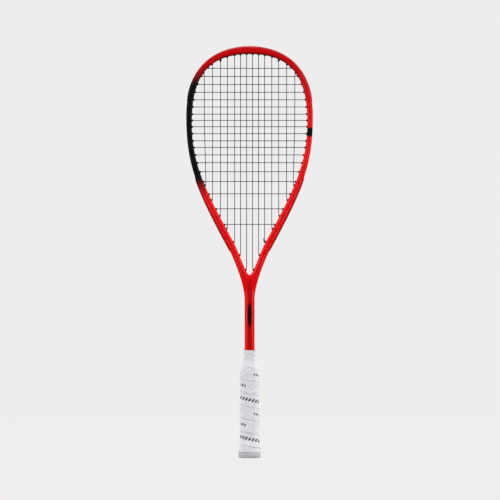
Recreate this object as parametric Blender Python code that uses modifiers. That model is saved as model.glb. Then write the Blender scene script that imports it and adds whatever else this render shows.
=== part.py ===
"""A squash racket: a hollow carbon frame, its bumper and grommets, two strings and a wrapped handle.

The racket stands on its butt end, with +Z up the handle to the head and X across the string face.
Every piece is drawn in the plane of the strings, as (across, height, depth), and the parent empty
stands that plane upright, so depth points to -Y.
"""

import math
from itertools import accumulate, pairwise

import bmesh
import bpy
from mathutils import Matrix, Vector
from mathutils.geometry import intersect_line_line_2d

MM = 0.001

# Clearance between pieces that touch on the real racket.
GAP = 0.3 * MM

# Overall sizes.
RACKET_LENGTH = 686 * MM
WINDOW_HEIGHT = 369.6 * MM
WINDOW_HALF_WIDTH = 96.6 * MM
BEAM_DEPTH = 20 * MM
EDGE_RADIUS = 3 * MM
WALL = 1.1 * MM

# Width of the rim, between the window and the outer face.
RIM_HEAD = 11 * MM
RIM_SIDE = 9 * MM
RIM_ARM = 11.9 * MM

# Shaft.
SHAFT_HALF_WIDTH = 8.3 * MM
SHAFT_WALL = 1.6 * MM
SHAFT_CORNER = (2 - math.sqrt(2)) * EDGE_RADIUS
THROAT_LENGTH = 42 * MM

# Bumper guard and grommets. Levels are measured outwards from the frame's outer face.
GUARD_RISE = 1.2 * MM
GUARD_LAP = 2 * MM
GUARD_EDGE = 0.8 * MM
GUARD_WALL = 0.7 * MM
GUARD_END_HALF_WIDTH = 4.8 * MM
GUARD_TAPER_RINGS = 4
GUARD_DROP = 79 * MM
STRIP_THICKNESS = 0.8 * MM
FLOOR_THICKNESS = 0.8 * MM
BARREL_RADIUS = 1.5 * MM
BORE_RADIUS = 0.9 * MM
BARREL_RISE = 1.6 * MM
BARREL_SIDES = 6
BEND_ROOM = 0.8 * MM
EXIT_ROOM = 1.1 * MM
HOLE_LEAN = 0.25
GROMMET_HALF_LENGTH = 4.5 * MM
STRIP_END_DROP = 331 * MM
GROOVE_END_MARGIN = 2 * MM

# Strings. The spacings run from the middle outwards and from the head down.
STRING_RADIUS = 0.6 * MM
WEAVE_GAP = 0.4 * MM
RUN_OFFSET = 1.6 * MM
RUN_LEAD = 3 * MM
TAIL_LENGTH = 7 * MM
MOUTH_MARGIN = 1.5 * MM
MAIN_SPACINGS = (5, 10, 10, 12, 11.5, 13.3, 13.7)
OUTER_MAIN = 0.782
OUTER_MAIN_BOW = 2.6 * MM
BOW_CROSS = 15
CROSS_SPACINGS = (13.5, 13.5, 13, 12.5, 12, 12, 10.5, 10.5, 11.5, 12, 11, 12.5, 13, 15, 16.5, 20.5, 25, 26)
TOP_CROSS = 0.066
LOW_CROSS = 0.771

# Handle.
HANDLE_LENGTH = 179 * MM
HANDLE_HALF_WIDTH = 16.65 * MM
HANDLE_HALF_DEPTH = 14.2 * MM
FLARE = 2.1 * MM
WRAP_THICKNESS = 1.7 * MM
COLLAR_LENGTH = 17 * MM
TAPER_LENGTH = 20 * MM
CAP_BAND = 9 * MM
CAP_HEIGHT = 24 * MM
CAP_ROUNDING = 2.2 * MM
SOCKET_FLOOR = 6 * MM
PLUG_LENGTH = 15 * MM
HANDLE_CUT_WIDTH = 7.5 * MM
HANDLE_CUT_DEPTH = 6.5 * MM
PALLET_TAPER_SHARE = 0.45
STAPLE_HEIGHT = 44 * MM
STAPLE_HALF_WIDTH = 3.4 * MM
STAPLE_LEG = 4 * MM
STAPLE_WIRE = 0.45 * MM

# What follows from them.
TOP = RACKET_LENGTH - GUARD_RISE
WINDOW_TOP = TOP - RIM_HEAD
WINDOW_BOTTOM = WINDOW_TOP - WINDOW_HEIGHT
SHAFT_BOTTOM = SOCKET_FLOOR + GAP
STRING_LEVEL = -(STRING_RADIUS + 0.1 * MM)
CHANNEL_FLOOR = STRING_LEVEL - STRING_RADIUS - GAP
STRIP_TOP = CHANNEL_FLOOR - FLOOR_THICKNESS - GAP
STRIP_FLOOR = STRIP_TOP - STRIP_THICKNESS
GROOVE_FLOOR = STRIP_FLOOR - GAP
CHANNEL_HALF_WIDTH = RUN_OFFSET + STRING_RADIUS + GAP
STRIP_HALF_WIDTH = CHANNEL_HALF_WIDTH + GUARD_WALL
GROOVE_HALF_WIDTH = STRIP_HALF_WIDTH + GAP
HOLE_RADIUS = BARREL_RADIUS + GAP
WEAVE = STRING_RADIUS + WEAVE_GAP / 2
GUARD_END = WINDOW_TOP - GUARD_DROP
STRIP_END = WINDOW_TOP - STRIP_END_DROP
CLEAR = 5 * MM


def clear_scene():
    for old in list(bpy.data.objects):
        bpy.data.objects.remove(old, do_unlink=True)


def new_collection(name, parent):
    made = bpy.data.collections.new(name)
    parent.children.link(made)
    return made


clear_scene()
RACKET = new_collection("squash_racket", bpy.context.scene.collection)
CUTTERS = new_collection("cutters", RACKET)
STAND = bpy.data.objects.new("racket_origin", None)
STAND.rotation_euler = (math.radians(90), 0, 0)
RACKET.objects.link(STAND)


# Materials.


def material(name, colour, roughness, metallic=0.0):
    made = bpy.data.materials.new(name)
    made.use_nodes = True
    shader = made.node_tree.nodes["Principled BSDF"]
    shader.inputs["Base Color"].default_value = (*colour, 1)
    shader.inputs["Roughness"].default_value = roughness
    shader.inputs["Metallic"].default_value = metallic
    return made


# Objects.


def add(name, mesh, look=None, smooth=False, collection=RACKET):
    """One piece of the racket, standing in the racket's frame."""
    piece = bpy.data.objects.new(name, mesh)
    piece.parent = STAND
    collection.objects.link(piece)
    if look:
        mesh.materials.append(look)
    if smooth:
        mesh.shade_smooth()
    return piece


def cutter(name, mesh):
    """A shape that only cuts: never rendered, shown as wire."""
    tool = add(name, mesh, collection=CUTTERS)
    tool.hide_render = True
    tool.display_type = "WIRE"
    return tool


def combine(piece, operation, tool):
    step = piece.modifiers.new(f"{operation.lower()}_{tool.name}"[:60], "BOOLEAN")
    step.operation = operation
    step.solver = "EXACT"
    step.use_hole_tolerant = True
    step.object = tool


def mesh_of_curve(curve):
    """The closed mesh that a curve shows."""
    holder = bpy.data.objects.new(curve.name, curve)
    mesh = bpy.data.meshes.new_from_object(holder)
    bpy.data.objects.remove(holder)
    cleaner = bmesh.new()
    cleaner.from_mesh(mesh)
    bmesh.ops.remove_doubles(cleaner, verts=cleaner.verts, dist=0.005 * MM)
    bmesh.ops.triangulate(cleaner, faces=cleaner.faces)
    cleaner.to_mesh(mesh)
    cleaner.free()
    return mesh


def flat(name, loops, half_depth, edge=0.0, steps=1):
    """A flat shape between closed outlines, half_depth to each side of the string plane."""
    curve = bpy.data.curves.new(name, "CURVE")
    curve.dimensions = "2D"
    curve.fill_mode = "BOTH"
    curve.extrude = half_depth - edge
    curve.bevel_depth = edge
    curve.bevel_resolution = steps
    curve.offset = -edge
    for loop in loops:
        spline = curve.splines.new("POLY")
        spline.points.add(len(loop) - 1)
        for point, place in zip(spline.points, loop):
            point.co = (place.x, place.y, 0, 1)
        spline.use_cyclic_u = True
    return mesh_of_curve(curve)


def rods(name, ends, radius, sides=BARREL_SIDES):
    """Straight prisms, each as wide across its flats as a round rod.

    Each end pair is followed by the direction that the far face looks in, or None where it is square.
    """
    shape = bmesh.new()
    corner = radius / math.cos(math.pi / sides)
    for start, finish, facing in ends:
        along = finish - start
        turn = along.to_track_quat("Z", "Y").to_matrix().to_4x4()
        place = Matrix.Translation((start + finish) / 2) @ turn
        made = bmesh.ops.create_cone(
            shape,
            cap_ends=True,
            segments=sides,
            radius1=corner,
            radius2=corner,
            depth=along.length,
            matrix=place,
        )
        for vert in made["verts"] if facing else ():
            if (vert.co - finish).length < (vert.co - start).length:
                vert.co += along * (finish - vert.co).dot(facing) / along.dot(facing)
    mesh = bpy.data.meshes.new(name)
    shape.to_mesh(mesh)
    shape.free()
    return mesh


def block(name, low, high):
    """A box between two corners, in the drawing plane's axes."""
    shape = bmesh.new()
    size = high - low
    place = Matrix.Translation((low + high) / 2) @ Matrix.Diagonal((*size, 1))
    bmesh.ops.create_cube(shape, size=1, matrix=place)
    mesh = bpy.data.meshes.new(name)
    shape.to_mesh(mesh)
    shape.free()
    return mesh


def wire(name, route, radius, look):
    """A round string or wire along a route of points, with filled ends."""
    curve = bpy.data.curves.new(name, "CURVE")
    curve.dimensions = "3D"
    curve.bevel_depth = radius
    curve.bevel_resolution = 0
    curve.use_fill_caps = True
    spline = curve.splines.new("POLY")
    spline.points.add(len(route) - 1)
    for point, place in zip(spline.points, route):
        point.co = (*place, 1)
    spline.use_smooth = True
    curve.materials.append(look)
    piece = bpy.data.objects.new(name, curve)
    piece.parent = STAND
    RACKET.objects.link(piece)
    return piece


def loft(name, outer, inner=None):
    """A skin through rings with as many corners; with inner rings it is an open sleeve."""
    shape = bmesh.new()

    def walls(rings):
        made = [[shape.verts.new(corner) for corner in ring] for ring in rings]
        for lower, upper in pairwise(made):
            bridge(lower, upper)
        return made

    def bridge(lower, upper):
        count = len(lower)
        for k in range(count):
            after = (k + 1) % count
            shape.faces.new((lower[k], lower[after], upper[after], upper[k]))

    skin = walls(outer)
    if inner:
        bore = walls(inner)
        bridge(bore[0], skin[0])
        bridge(skin[-1], bore[-1])
    else:
        shape.faces.new(skin[0])
        shape.faces.new(skin[-1])
    bmesh.ops.recalc_face_normals(shape, faces=shape.faces)
    mesh = bpy.data.meshes.new(name)
    shape.to_mesh(mesh)
    shape.free()
    return mesh


# Outlines. A sample is a point and the unit normal that leads away from the window's middle.


def sampled(segments, counts):
    """Samples along a chain of cubic curves that turn clockwise."""
    samples = []
    for (a, b, c, d), count in zip(segments, counts):
        for k in range(count + (segments[-1][3] is d)):
            t = k / count
            s = 1 - t
            point = s**3 * a + 3 * s * s * t * b + 3 * s * t * t * c + t**3 * d
            along = s * s * (b - a) + 2 * s * t * (c - b) + t * t * (d - c)
            along.normalize()
            samples.append((point, Vector((-along.y, along.x))))
    return samples


def window_point(across, drop):
    """A point at shares of the window's half width and of its height below its top."""
    return Vector((across * WINDOW_HALF_WIDTH, WINDOW_TOP - drop * WINDOW_HEIGHT))


WINDOW_ARM = window_point(0.277, 0.852)
WINDOW_ARM_IN = window_point(0.724, 0.6365)
WINDOW_ARM_OUT = window_point(0.1635, 0.9063)
WINDOW_HALF = sampled(
    [
        (window_point(0, 0), window_point(0.828, 0), window_point(1, 0.138), window_point(1, 0.313)),
        (window_point(1, 0.313), window_point(1, 0.5065), WINDOW_ARM_IN, WINDOW_ARM),
        (WINDOW_ARM, WINDOW_ARM_OUT, window_point(0.065, 1), window_point(0, 1)),
    ],
    (16, 14, 8),
)


def outer_outline():
    """The outer face of the right half of the frame, from the head's middle to the shaft."""
    down = (WINDOW_ARM - WINDOW_ARM_IN).normalized()
    out = Vector((-down.y, down.x))
    head = Vector((0, TOP))
    side = Vector((WINDOW_HALF_WIDTH + RIM_SIDE, WINDOW_TOP - 0.2815 * WINDOW_HEIGHT))
    arm = WINDOW_ARM + RIM_ARM * out
    shaft = Vector((SHAFT_HALF_WIDTH, WINDOW_BOTTOM - THROAT_LENGTH))
    up = Vector((0, WINDOW_HEIGHT))
    across = Vector((WINDOW_HALF_WIDTH, 0))
    segments = [
        (head, head + 0.4675 * across, side + 0.2494 * up, side),
        (side, side - 0.2097 * up, arm + 0.5645 * across + 0.2717 * up, arm),
        (arm, arm + 0.016 * WINDOW_HEIGHT * down, shaft + 0.79 * Vector((0, THROAT_LENGTH)), shaft),
    ]
    return sampled(segments, (18, 16, 11))


OUTER_HALF = outer_outline()


def offset(samples, level):
    return [point + level * normal for point, normal in samples]


def mirrored(points):
    return [Vector((-point.x, point.y)) for point in reversed(points)]


def whole(points):
    """A half outline that starts on the middle line, carried over to the other half."""
    return mirrored(points)[:-1] + points


def stretch(low, high):
    """The samples of the right half of the outer face between two heights, cut exactly at both."""
    kept = []
    for (point, normal), (after, normal_after) in pairwise(OUTER_HALF):
        for height in (high, low):
            if point.y > height > after.y:
                share = (point.y - height) / (point.y - after.y)
                kept.append((point.lerp(after, share), normal.lerp(normal_after, share).normalized()))
        if high > after.y > low:
            kept.append((after, normal_after))
    return kept


def head_stretch(low):
    """The samples from the head's middle down to a height."""
    return [OUTER_HALF[0], *stretch(low, TOP)]


def band(samples, inner, outer):
    """The closed outline between two levels along the samples."""
    return offset(samples, outer) + list(reversed(offset(samples, inner)))


def head_band(low, inner, outer):
    """The same, from one side over the head to the other."""
    samples = head_stretch(low)
    return whole(offset(samples, outer)) + list(reversed(whole(offset(samples, inner))))


def at_depth(point, depth=0.0):
    return Vector((point.x, point.y, depth))


# String holes. Each string end has a mouth, where the string bends into its grommet, and an exit,
# where it turns into the groove outside the frame.


def strike(start, direction, line):
    """The nearest point where a ray meets an open line, with the line's edge and the share along it."""
    far = start + direction
    best = None
    for edge, (a, b) in enumerate(pairwise(line)):
        hit = intersect_line_line_2d(start, far, a, b)
        if hit and (best is None or (hit - start).length < (best[0] - start).length):
            best = (hit, edge, (hit - a).length / (b - a).length)
    return best


WINDOW_LINE = whole([point for point, _ in WINDOW_HALF])
WINDOW_NORMALS = whole([normal for _, normal in WINDOW_HALF])
STRING_LINE = whole(offset(OUTER_HALF, STRING_LEVEL))
STATIONS = [0, *accumulate((b - a).length for a, b in pairwise(STRING_LINE))]


class StringEnd:
    def __init__(self, middle, direction):
        far = RACKET_LENGTH * direction
        hit, edge, share = strike(middle, far, WINDOW_LINE)
        normal = WINDOW_NORMALS[edge].lerp(WINDOW_NORMALS[edge + 1], share)
        self.axis = normal.normalized().lerp(direction, HOLE_LEAN).normalized()
        reach = BARREL_RISE + BEND_ROOM
        self.mouth = hit - reach * direction
        for _ in range(8):
            wall = strike(self.mouth, RACKET_LENGTH * self.axis, WINDOW_LINE)[0]
            self.mouth += ((wall - self.mouth).length - reach) * direction
        self.wall = strike(self.mouth, RACKET_LENGTH * self.axis, WINDOW_LINE)[0]
        self.exit, self.edge, share = strike(self.mouth, RACKET_LENGTH * self.axis, STRING_LINE)
        before, after = STATIONS[self.edge : self.edge + 2]
        self.station = before + share * (after - before)

    def rod(self, before_wall, past_exit):
        """A rod along the hole, from before the window's face to past the exit."""
        start = self.wall - before_wall * self.axis
        return at_depth(start), at_depth(self.exit + past_exit * self.axis), None

    def barrel(self, level):
        """A rod from inside the window to a level in the groove, cut along the groove's floor there."""
        inner, inner_after = STRING_LINE[self.edge], STRING_LINE[self.edge + 1]
        along = (inner_after - inner).normalized()
        outward = Vector((-along.y, along.x))
        rise = (level - STRING_LEVEL) / self.axis.dot(outward)
        start = self.wall - BARREL_RISE * self.axis
        return at_depth(start), at_depth(self.exit + rise * self.axis), at_depth(outward)


def main_places():
    steps = list(accumulate(MAIN_SPACINGS))
    half = [step / steps[-1] * OUTER_MAIN * WINDOW_HALF_WIDTH for step in steps]
    return [-place for place in reversed(half)] + half


def cross_places():
    steps = [0, *accumulate(CROSS_SPACINGS)]
    span = LOW_CROSS - TOP_CROSS
    return [WINDOW_TOP - (TOP_CROSS + span * step / steps[-1]) * WINDOW_HEIGHT for step in steps]


UP = Vector((0, 1))
RIGHT = Vector((1, 0))
WIDEST = WINDOW_TOP - 0.313 * WINDOW_HEIGHT
MAINS = main_places()
CROSSES = cross_places()


def main_across(k, height):
    """Where a main string is at a height: the outermost ones bow inwards towards the throat."""
    if abs(MAINS[k]) < abs(MAINS[0]):
        return MAINS[k]
    share = min(1, max(0, (WIDEST - height) / (WIDEST - CROSSES[BOW_CROSS])))
    return MAINS[k] - math.copysign(OUTER_MAIN_BOW * share, MAINS[k])


MAIN_LOW = [StringEnd(Vector((main_across(k, 0), WIDEST)), -UP) for k in range(len(MAINS))]
MAIN_HIGH = [StringEnd(Vector((place, WIDEST)), UP) for place in MAINS]
CROSS_LEFT = [StringEnd(Vector((0, place)), -RIGHT) for place in CROSSES]
CROSS_RIGHT = [StringEnd(Vector((0, place)), RIGHT) for place in CROSSES]
ENDS = MAIN_LOW + MAIN_HIGH + CROSS_LEFT + CROSS_RIGHT


# Frame: one hollow moulding, open at the foot of the shaft.


def build_frame(look):
    foot = Vector((SHAFT_HALF_WIDTH, SHAFT_BOTTOM))
    outer = whole([point for point, _ in OUTER_HALF] + [foot])
    frame = add("frame", flat("frame", [outer, WINDOW_LINE[1:]], BEAM_DEPTH / 2, EDGE_RADIUS), look)
    lowest = min(end.exit.y for end in ENDS)
    groove_end = lowest - GROMMET_HALF_LENGTH - GROOVE_END_MARGIN
    groove = head_band(groove_end, GROOVE_FLOOR, CLEAR)
    combine(frame, "DIFFERENCE", cutter("groove", flat("groove", [groove], GROOVE_HALF_WIDTH)))
    combine(frame, "DIFFERENCE", cutter("hollow", hollow_mesh(groove_end)))
    holes = [end.rod(CLEAR / 2, EXIT_ROOM) for end in ENDS]
    combine(frame, "DIFFERENCE", cutter("string_holes", rods("string_holes", holes, HOLE_RADIUS)))


def hollow_mesh(groove_end):
    """The space inside the frame: behind the groove in the hoop, and full width down the shaft."""
    behind_groove = GROOVE_FLOOR - WALL
    line = []
    for point, normal in OUTER_HALF:
        in_shaft = min(1, max(0, (groove_end - point.y) / (3 * GROMMET_HALF_LENGTH)))
        line.append(point + (behind_groove + in_shaft * (-SHAFT_WALL - behind_groove)) * normal)
    line.append(Vector((SHAFT_HALF_WIDTH - SHAFT_WALL, SHAFT_BOTTOM - CLEAR)))
    window = whole(offset(WINDOW_HALF, WALL))[1:]
    return flat("hollow", [whole(line), window], BEAM_DEPTH / 2 - SHAFT_WALL)


# Grommets: strips that line the groove, with a barrel through the frame for each string end.


def add_barrels(strip, ends, top):
    """Barrels from inside the strip to past the window's face, and the bores through them."""
    level = top - STRIP_THICKNESS / 2
    barrels = rods(f"{strip.name}_barrels", [end.barrel(level) for end in ends], BARREL_RADIUS)
    bores = rods(f"{strip.name}_bores", [end.rod(CLEAR, EXIT_ROOM) for end in ends], BORE_RADIUS)
    combine(strip, "UNION", cutter(f"{strip.name}_barrels", barrels))
    combine(strip, "DIFFERENCE", cutter(f"{strip.name}_bores", bores))


def build_head_strip(look):
    ends = [end for end in ENDS if end.exit.y > GUARD_END]
    outline = head_band(GUARD_END + GAP, STRIP_FLOOR, STRIP_TOP)
    strip = add("head_grommet_strip", flat("head_grommet_strip", [outline], STRIP_HALF_WIDTH), look)
    add_barrels(strip, ends, STRIP_TOP)


def build_side_strip(name, side, low, high, look):
    """A grommet strip on one side of the frame, between two heights."""
    ends = [end for end in ENDS if low < end.exit.y < high and end.exit.x * side > 0]
    outline = band(stretch(low, high), STRIP_FLOOR, CHANNEL_FLOOR)
    if side < 0:
        outline = mirrored(outline)
    strip = add(name, flat(name, [outline], STRIP_HALF_WIDTH), look)
    add_barrels(strip, ends, CHANNEL_FLOOR)


def build_grommets(look):
    build_head_strip(look)
    for side, word in ((-1, "left"), (1, "right")):
        build_side_strip(f"grommet_strip_{word}", side, STRIP_END, GUARD_END - GAP, look)
        throat = [end for end in MAIN_LOW if end.exit.y < STRIP_END and end.exit.x * side > 0]
        for end, level in zip(sorted(throat, key=lambda one: one.exit.y), ("lower", "upper")):
            low, high = end.exit.y - GROMMET_HALF_LENGTH, end.exit.y + GROMMET_HALF_LENGTH
            build_side_strip(f"throat_grommet_{word}_{level}", side, low, high, look)


# Bumper guard: a cover over the head with a channel that holds the strings below its surface.


def guard_ring(point, normal, share):
    """The guard's section across the rim: a channel between two flanges.

    Each flange laps onto the rim's shoulder at share 1, and narrows to the guard's end at share 0.
    """
    wall, floor, rest = STRIP_HALF_WIDTH, STRIP_TOP + GAP, GAP
    face_end = BEAM_DEPTH / 2 - EDGE_RADIUS
    turn = share**2 * math.pi / 8
    kink = GUARD_END_HALF_WIDTH - GUARD_EDGE + share * (face_end - GUARD_END_HALF_WIDTH + GUARD_EDGE)
    lap = GUARD_EDGE + share * (GUARD_LAP - GUARD_EDGE)
    tip = Vector((-math.sin(turn), math.cos(turn))) * lap + Vector((0, kink))
    out = Vector((math.cos(turn), math.sin(turn)))
    half = [
        (floor, wall),
        (rest, wall),
        (rest, kink),
        tip + rest * out,
        tip + GUARD_EDGE * out,
        (GUARD_RISE, kink),
        (GUARD_RISE, CHANNEL_HALF_WIDTH),
        (CHANNEL_FLOOR, CHANNEL_HALF_WIDTH),
    ]
    corners = half + [(level, -depth) for level, depth in reversed(half)]
    return [at_depth(point + level * normal, depth) for level, depth in corners]


def build_guard(look):
    samples = head_stretch(GUARD_END)
    rings = []
    for k, (point, normal) in enumerate(samples):
        share = min(1, (len(samples) - 1 - k) / GUARD_TAPER_RINGS)
        rings.append(guard_ring(point, normal, share))
    left = [[Vector((-place.x, place.y, place.z)) for place in ring] for ring in rings[:0:-1]]
    guard = add("bumper_guard", loft("bumper_guard", left + rings), look)
    ends = [end.rod(0, EXIT_ROOM) for end in ENDS if end.exit.y > GUARD_END]
    passages = rods("guard_passages", ends, BORE_RADIUS + GAP)
    combine(guard, "DIFFERENCE", cutter("guard_passages", passages))


# Strings: each is one piece, woven through the other and looped round the frame in the groove.


def on_string_line(station):
    for k, (a, b) in enumerate(pairwise(STRING_LINE)):
        if station <= STATIONS[k + 1]:
            return a.lerp(b, (station - STATIONS[k]) / (STATIONS[k + 1] - STATIONS[k]))
    return STRING_LINE[-1]


def run(start, finish, depth):
    """Points in the groove between two stations, without the holes' own exits."""
    way = math.copysign(1, finish - start)
    first, last = start + way * RUN_LEAD, finish - way * RUN_LEAD
    low, high = sorted((first, last))
    between = [station for station in STATIONS if low + RUN_LEAD < station < high - RUN_LEAD]
    between.sort(key=lambda station: way * station)
    return [at_depth(on_string_line(station), depth) for station in (first, *between, last)]


def tail(end, way, depth):
    """The short free end of a string, in the groove beyond its last hole."""
    return [
        at_depth(on_string_line(end.station + way * length), depth) for length in (RUN_LEAD, TAIL_LENGTH)
    ]


def woven(k, m):
    """Whether main k crosses cross m."""
    across = abs(main_across(k, CROSSES[m])) < CROSS_RIGHT[m].mouth.x - MOUTH_MARGIN
    low, high = MAIN_LOW[k].mouth.y + MOUTH_MARGIN, MAIN_HIGH[k].mouth.y - MOUTH_MARGIN
    return across and low < CROSSES[m] < high


def crossing(k, m, side):
    """Where main k and cross m pass each other, on the side of the plane that the string takes."""
    over = side if (k + m) % 2 else -side
    return Vector((main_across(k, CROSSES[m]), CROSSES[m], over * WEAVE))


def string_route(passes, depth, start_way, finish_way):
    """The whole route of a string, from passes that are each (first end, crossings, last end)."""
    route = list(reversed(tail(passes[0][0], start_way, depth)))
    for k, (first, crossings, last) in enumerate(passes):
        if k:
            route += run(passes[k - 1][2].station, first.station, depth)
        route += [at_depth(first.exit), at_depth(first.mouth)]
        route += crossings
        route += [at_depth(last.mouth), at_depth(last.exit)]
    return route + tail(passes[-1][2], finish_way, depth)


def build_strings(look):
    passes = []
    for k in range(len(MAINS)):
        crossings = [crossing(k, m, 1) for m in range(len(CROSSES)) if woven(k, m)]
        if k % 2:
            passes.append((MAIN_HIGH[k], crossings, MAIN_LOW[k]))
        else:
            passes.append((MAIN_LOW[k], crossings[::-1], MAIN_HIGH[k]))
    wire("main_string", string_route(passes, RUN_OFFSET, 1, -1), STRING_RADIUS, look)
    passes = []
    for m in range(len(CROSSES)):
        crossings = [crossing(k, m, -1) for k in range(len(MAINS)) if woven(k, m)]
        if m % 2:
            passes.append((CROSS_RIGHT[m], crossings[::-1], CROSS_LEFT[m]))
        else:
            passes.append((CROSS_LEFT[m], crossings, CROSS_RIGHT[m]))
    wire("cross_string", string_route(passes, -RUN_OFFSET, 1, 1), STRING_RADIUS, look)


# Handle. A section has half its width, half its depth and the two legs of its cut corners.


def moved_in(shape, inset):
    """The section that lies inset inside another all the way round."""
    half_width, half_depth, cut_width, cut_depth = shape
    slant = math.hypot(cut_width, cut_depth)
    return (
        half_width - inset,
        half_depth - inset,
        cut_width - inset * (1 + (cut_width - slant) / cut_depth),
        cut_depth - inset * (1 + (cut_depth - slant) / cut_width),
    )


def grown(shape, amount):
    return (shape[0] + amount, shape[1] + amount, *shape[2:])


def ring(height, shape):
    half_width, half_depth, cut_width, cut_depth = shape
    quarter = [(half_width, half_depth - cut_depth), (half_width - cut_width, half_depth)]
    top = quarter + [(-x, z) for x, z in reversed(quarter)]
    return [Vector((x, height, z)) for x, z in top + [(-x, -z) for x, z in top]]


SHAFT = (SHAFT_HALF_WIDTH, BEAM_DEPTH / 2, SHAFT_CORNER, SHAFT_CORNER)
SOCKET = moved_in(SHAFT, -GAP)
COLLAR = moved_in(SHAFT, -GAP - WRAP_THICKNESS)
BODY = (HANDLE_HALF_WIDTH, HANDLE_HALF_DEPTH, HANDLE_CUT_WIDTH, HANDLE_CUT_DEPTH)
FOOT = grown(BODY, FLARE)
UNDER_WRAP = WRAP_THICKNESS + GAP
FLARE_TOP = CAP_BAND + 0.45 * (CAP_HEIGHT - CAP_BAND)
FLARE_END = CAP_HEIGHT + 0.5 * (CAP_HEIGHT - CAP_BAND)
TAPER_END = HANDLE_LENGTH - COLLAR_LENGTH
TAPER_START = TAPER_END - TAPER_LENGTH


def between(low, high, share):
    return [a.lerp(b, share) for a, b in zip(low, high)]


def handle_rings(inset):
    """Rings up the handle's outer face, moved in by inset, from the butt cap's band to the top."""
    foot, body, collar = (moved_in(shape, inset) for shape in (FOOT, BODY, COLLAR))
    return [
        ring(CAP_BAND + GAP, foot),
        ring(FLARE_TOP, foot),
        ring(FLARE_END, body),
        ring(TAPER_START, body),
        ring(TAPER_END, collar),
        ring(HANDLE_LENGTH, collar),
    ]


def build_wrap(look):
    add("grip_wrap", loft("grip_wrap", handle_rings(0), handle_rings(WRAP_THICKNESS)), look)


def socket_cutter(name, low, high):
    """The space that the shaft needs in a piece around it."""
    return cutter(name, loft(name, [ring(low, SOCKET), ring(high, SOCKET)]))


def skirt_ring(height):
    """The ring of the handle's core between the flare and the straight body."""
    _, full, waist, *_ = handle_rings(UNDER_WRAP)
    return between(full, waist, (height - FLARE_TOP) / (FLARE_END - FLARE_TOP))


def build_cap(look):
    face = moved_in(FOOT, GAP)
    rings = [
        ring(0, moved_in(face, CAP_ROUNDING)),
        ring(CAP_ROUNDING, face),
        ring(CAP_BAND, face),
        ring(CAP_BAND, moved_in(FOOT, UNDER_WRAP)),
        ring(FLARE_TOP, moved_in(FOOT, UNDER_WRAP)),
        skirt_ring(CAP_HEIGHT),
    ]
    cap = add("butt_cap", loft("butt_cap", rings), look)
    combine(cap, "DIFFERENCE", socket_cutter("cap_socket", SOCKET_FLOOR, CAP_HEIGHT + CLEAR))


def build_pallet(look):
    low = CAP_HEIGHT + GAP
    *_, waist, start, end, _ = handle_rings(UNDER_WRAP)
    outside = [skirt_ring(low), waist, start, between(start, end, PALLET_TAPER_SHARE)]
    bore = socket_cutter("pallet_bore", low - CLEAR, HANDLE_LENGTH)
    slots = cutter("staple_slots", staple_slots())
    reach = 2 * HANDLE_HALF_DEPTH
    for word, side in (("front", 1), ("back", -1)):
        name = f"pallet_half_{word}"
        half = add(name, loft(name, outside), look)
        combine(half, "DIFFERENCE", bore)
        low_depth, high_depth = sorted((side * GAP / 2, -side * reach))
        corners = Vector((-reach, 0, low_depth)), Vector((reach, RACKET_LENGTH, high_depth))
        combine(half, "DIFFERENCE", cutter(f"not_{name}", block(f"not_{name}", *corners)))
        combine(half, "DIFFERENCE", slots)


def staple_face():
    """How far the pallet's side face lies from the middle."""
    return HANDLE_HALF_WIDTH - WRAP_THICKNESS - GAP


def staple_slots():
    shape = bmesh.new()
    room = STAPLE_WIRE + GAP
    for side in (-1, 1):
        depth = STAPLE_LEG + room
        size = Vector((2 * depth, 2 * room, 2 * (STAPLE_HALF_WIDTH + room)))
        middle = Vector((side * staple_face(), STAPLE_HEIGHT, 0))
        bmesh.ops.create_cube(shape, size=1, matrix=Matrix.Translation(middle) @ Matrix.Diagonal((*size, 1)))
    mesh = bpy.data.meshes.new("staple_slots")
    shape.to_mesh(mesh)
    shape.free()
    return mesh


def build_staples(look):
    """Two wire staples, each across the joint between the pallet's halves."""
    for word, side in (("left", -1), ("right", 1)):
        crown = side * (staple_face() - STAPLE_WIRE)
        toe = side * (staple_face() - STAPLE_LEG)
        corners = [(toe, -1), (crown, -1), (crown, 1), (toe, 1)]
        route = [Vector((x, STAPLE_HEIGHT, z * STAPLE_HALF_WIDTH)) for x, z in corners]
        wire(f"pallet_staple_{word}", route, STAPLE_WIRE, look)


def build_plug(look):
    half_width = SHAFT_HALF_WIDTH - SHAFT_WALL - GAP
    half_depth = BEAM_DEPTH / 2 - SHAFT_WALL - GAP
    low = Vector((-half_width, SHAFT_BOTTOM + GAP, -half_depth))
    high = Vector((half_width, SHAFT_BOTTOM + GAP + PLUG_LENGTH, half_depth))
    plug = add("shaft_end_plug", block("shaft_end_plug", low, high), look)
    soften = plug.modifiers.new("soft_edges", "BEVEL")
    soften.width = 1 * MM
    soften.segments = 1


build_frame(material("frame_lacquer", (0.60, 0.002, 0.006), 0.2))
build_grommets(material("grommet_nylon", (0.02, 0.02, 0.022), 0.5))
build_guard(material("bumper_nylon", (0.42, 0.03, 0.04), 0.5))
build_strings(material("string_multifilament", (0.015, 0.015, 0.017), 0.35))
build_cap(material("cap_rubber", (0.35, 0.35, 0.37), 0.7))
build_pallet(material("pallet_foam", (0.45, 0.38, 0.22), 0.9))
build_staples(material("staple_steel", (0.6, 0.6, 0.6), 0.3, 1.0))
build_plug(material("plug_foam", (0.1, 0.1, 0.1), 0.9))
build_wrap(material("grip_leatherette", (0.78, 0.79, 0.84), 0.8))
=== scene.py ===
"""The looks of a squash racket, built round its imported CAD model.

The racket stands on its butt end, with +Z up and its string face towards -Y. Lengths in the code are
in metres, and sections are in millimetres where a comment says so. Pieces are drawn in the plane of the
strings, as (across, height, depth), with depth towards -Y, and stand_up() turns them into the racket's
own frame.
"""

import math

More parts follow.
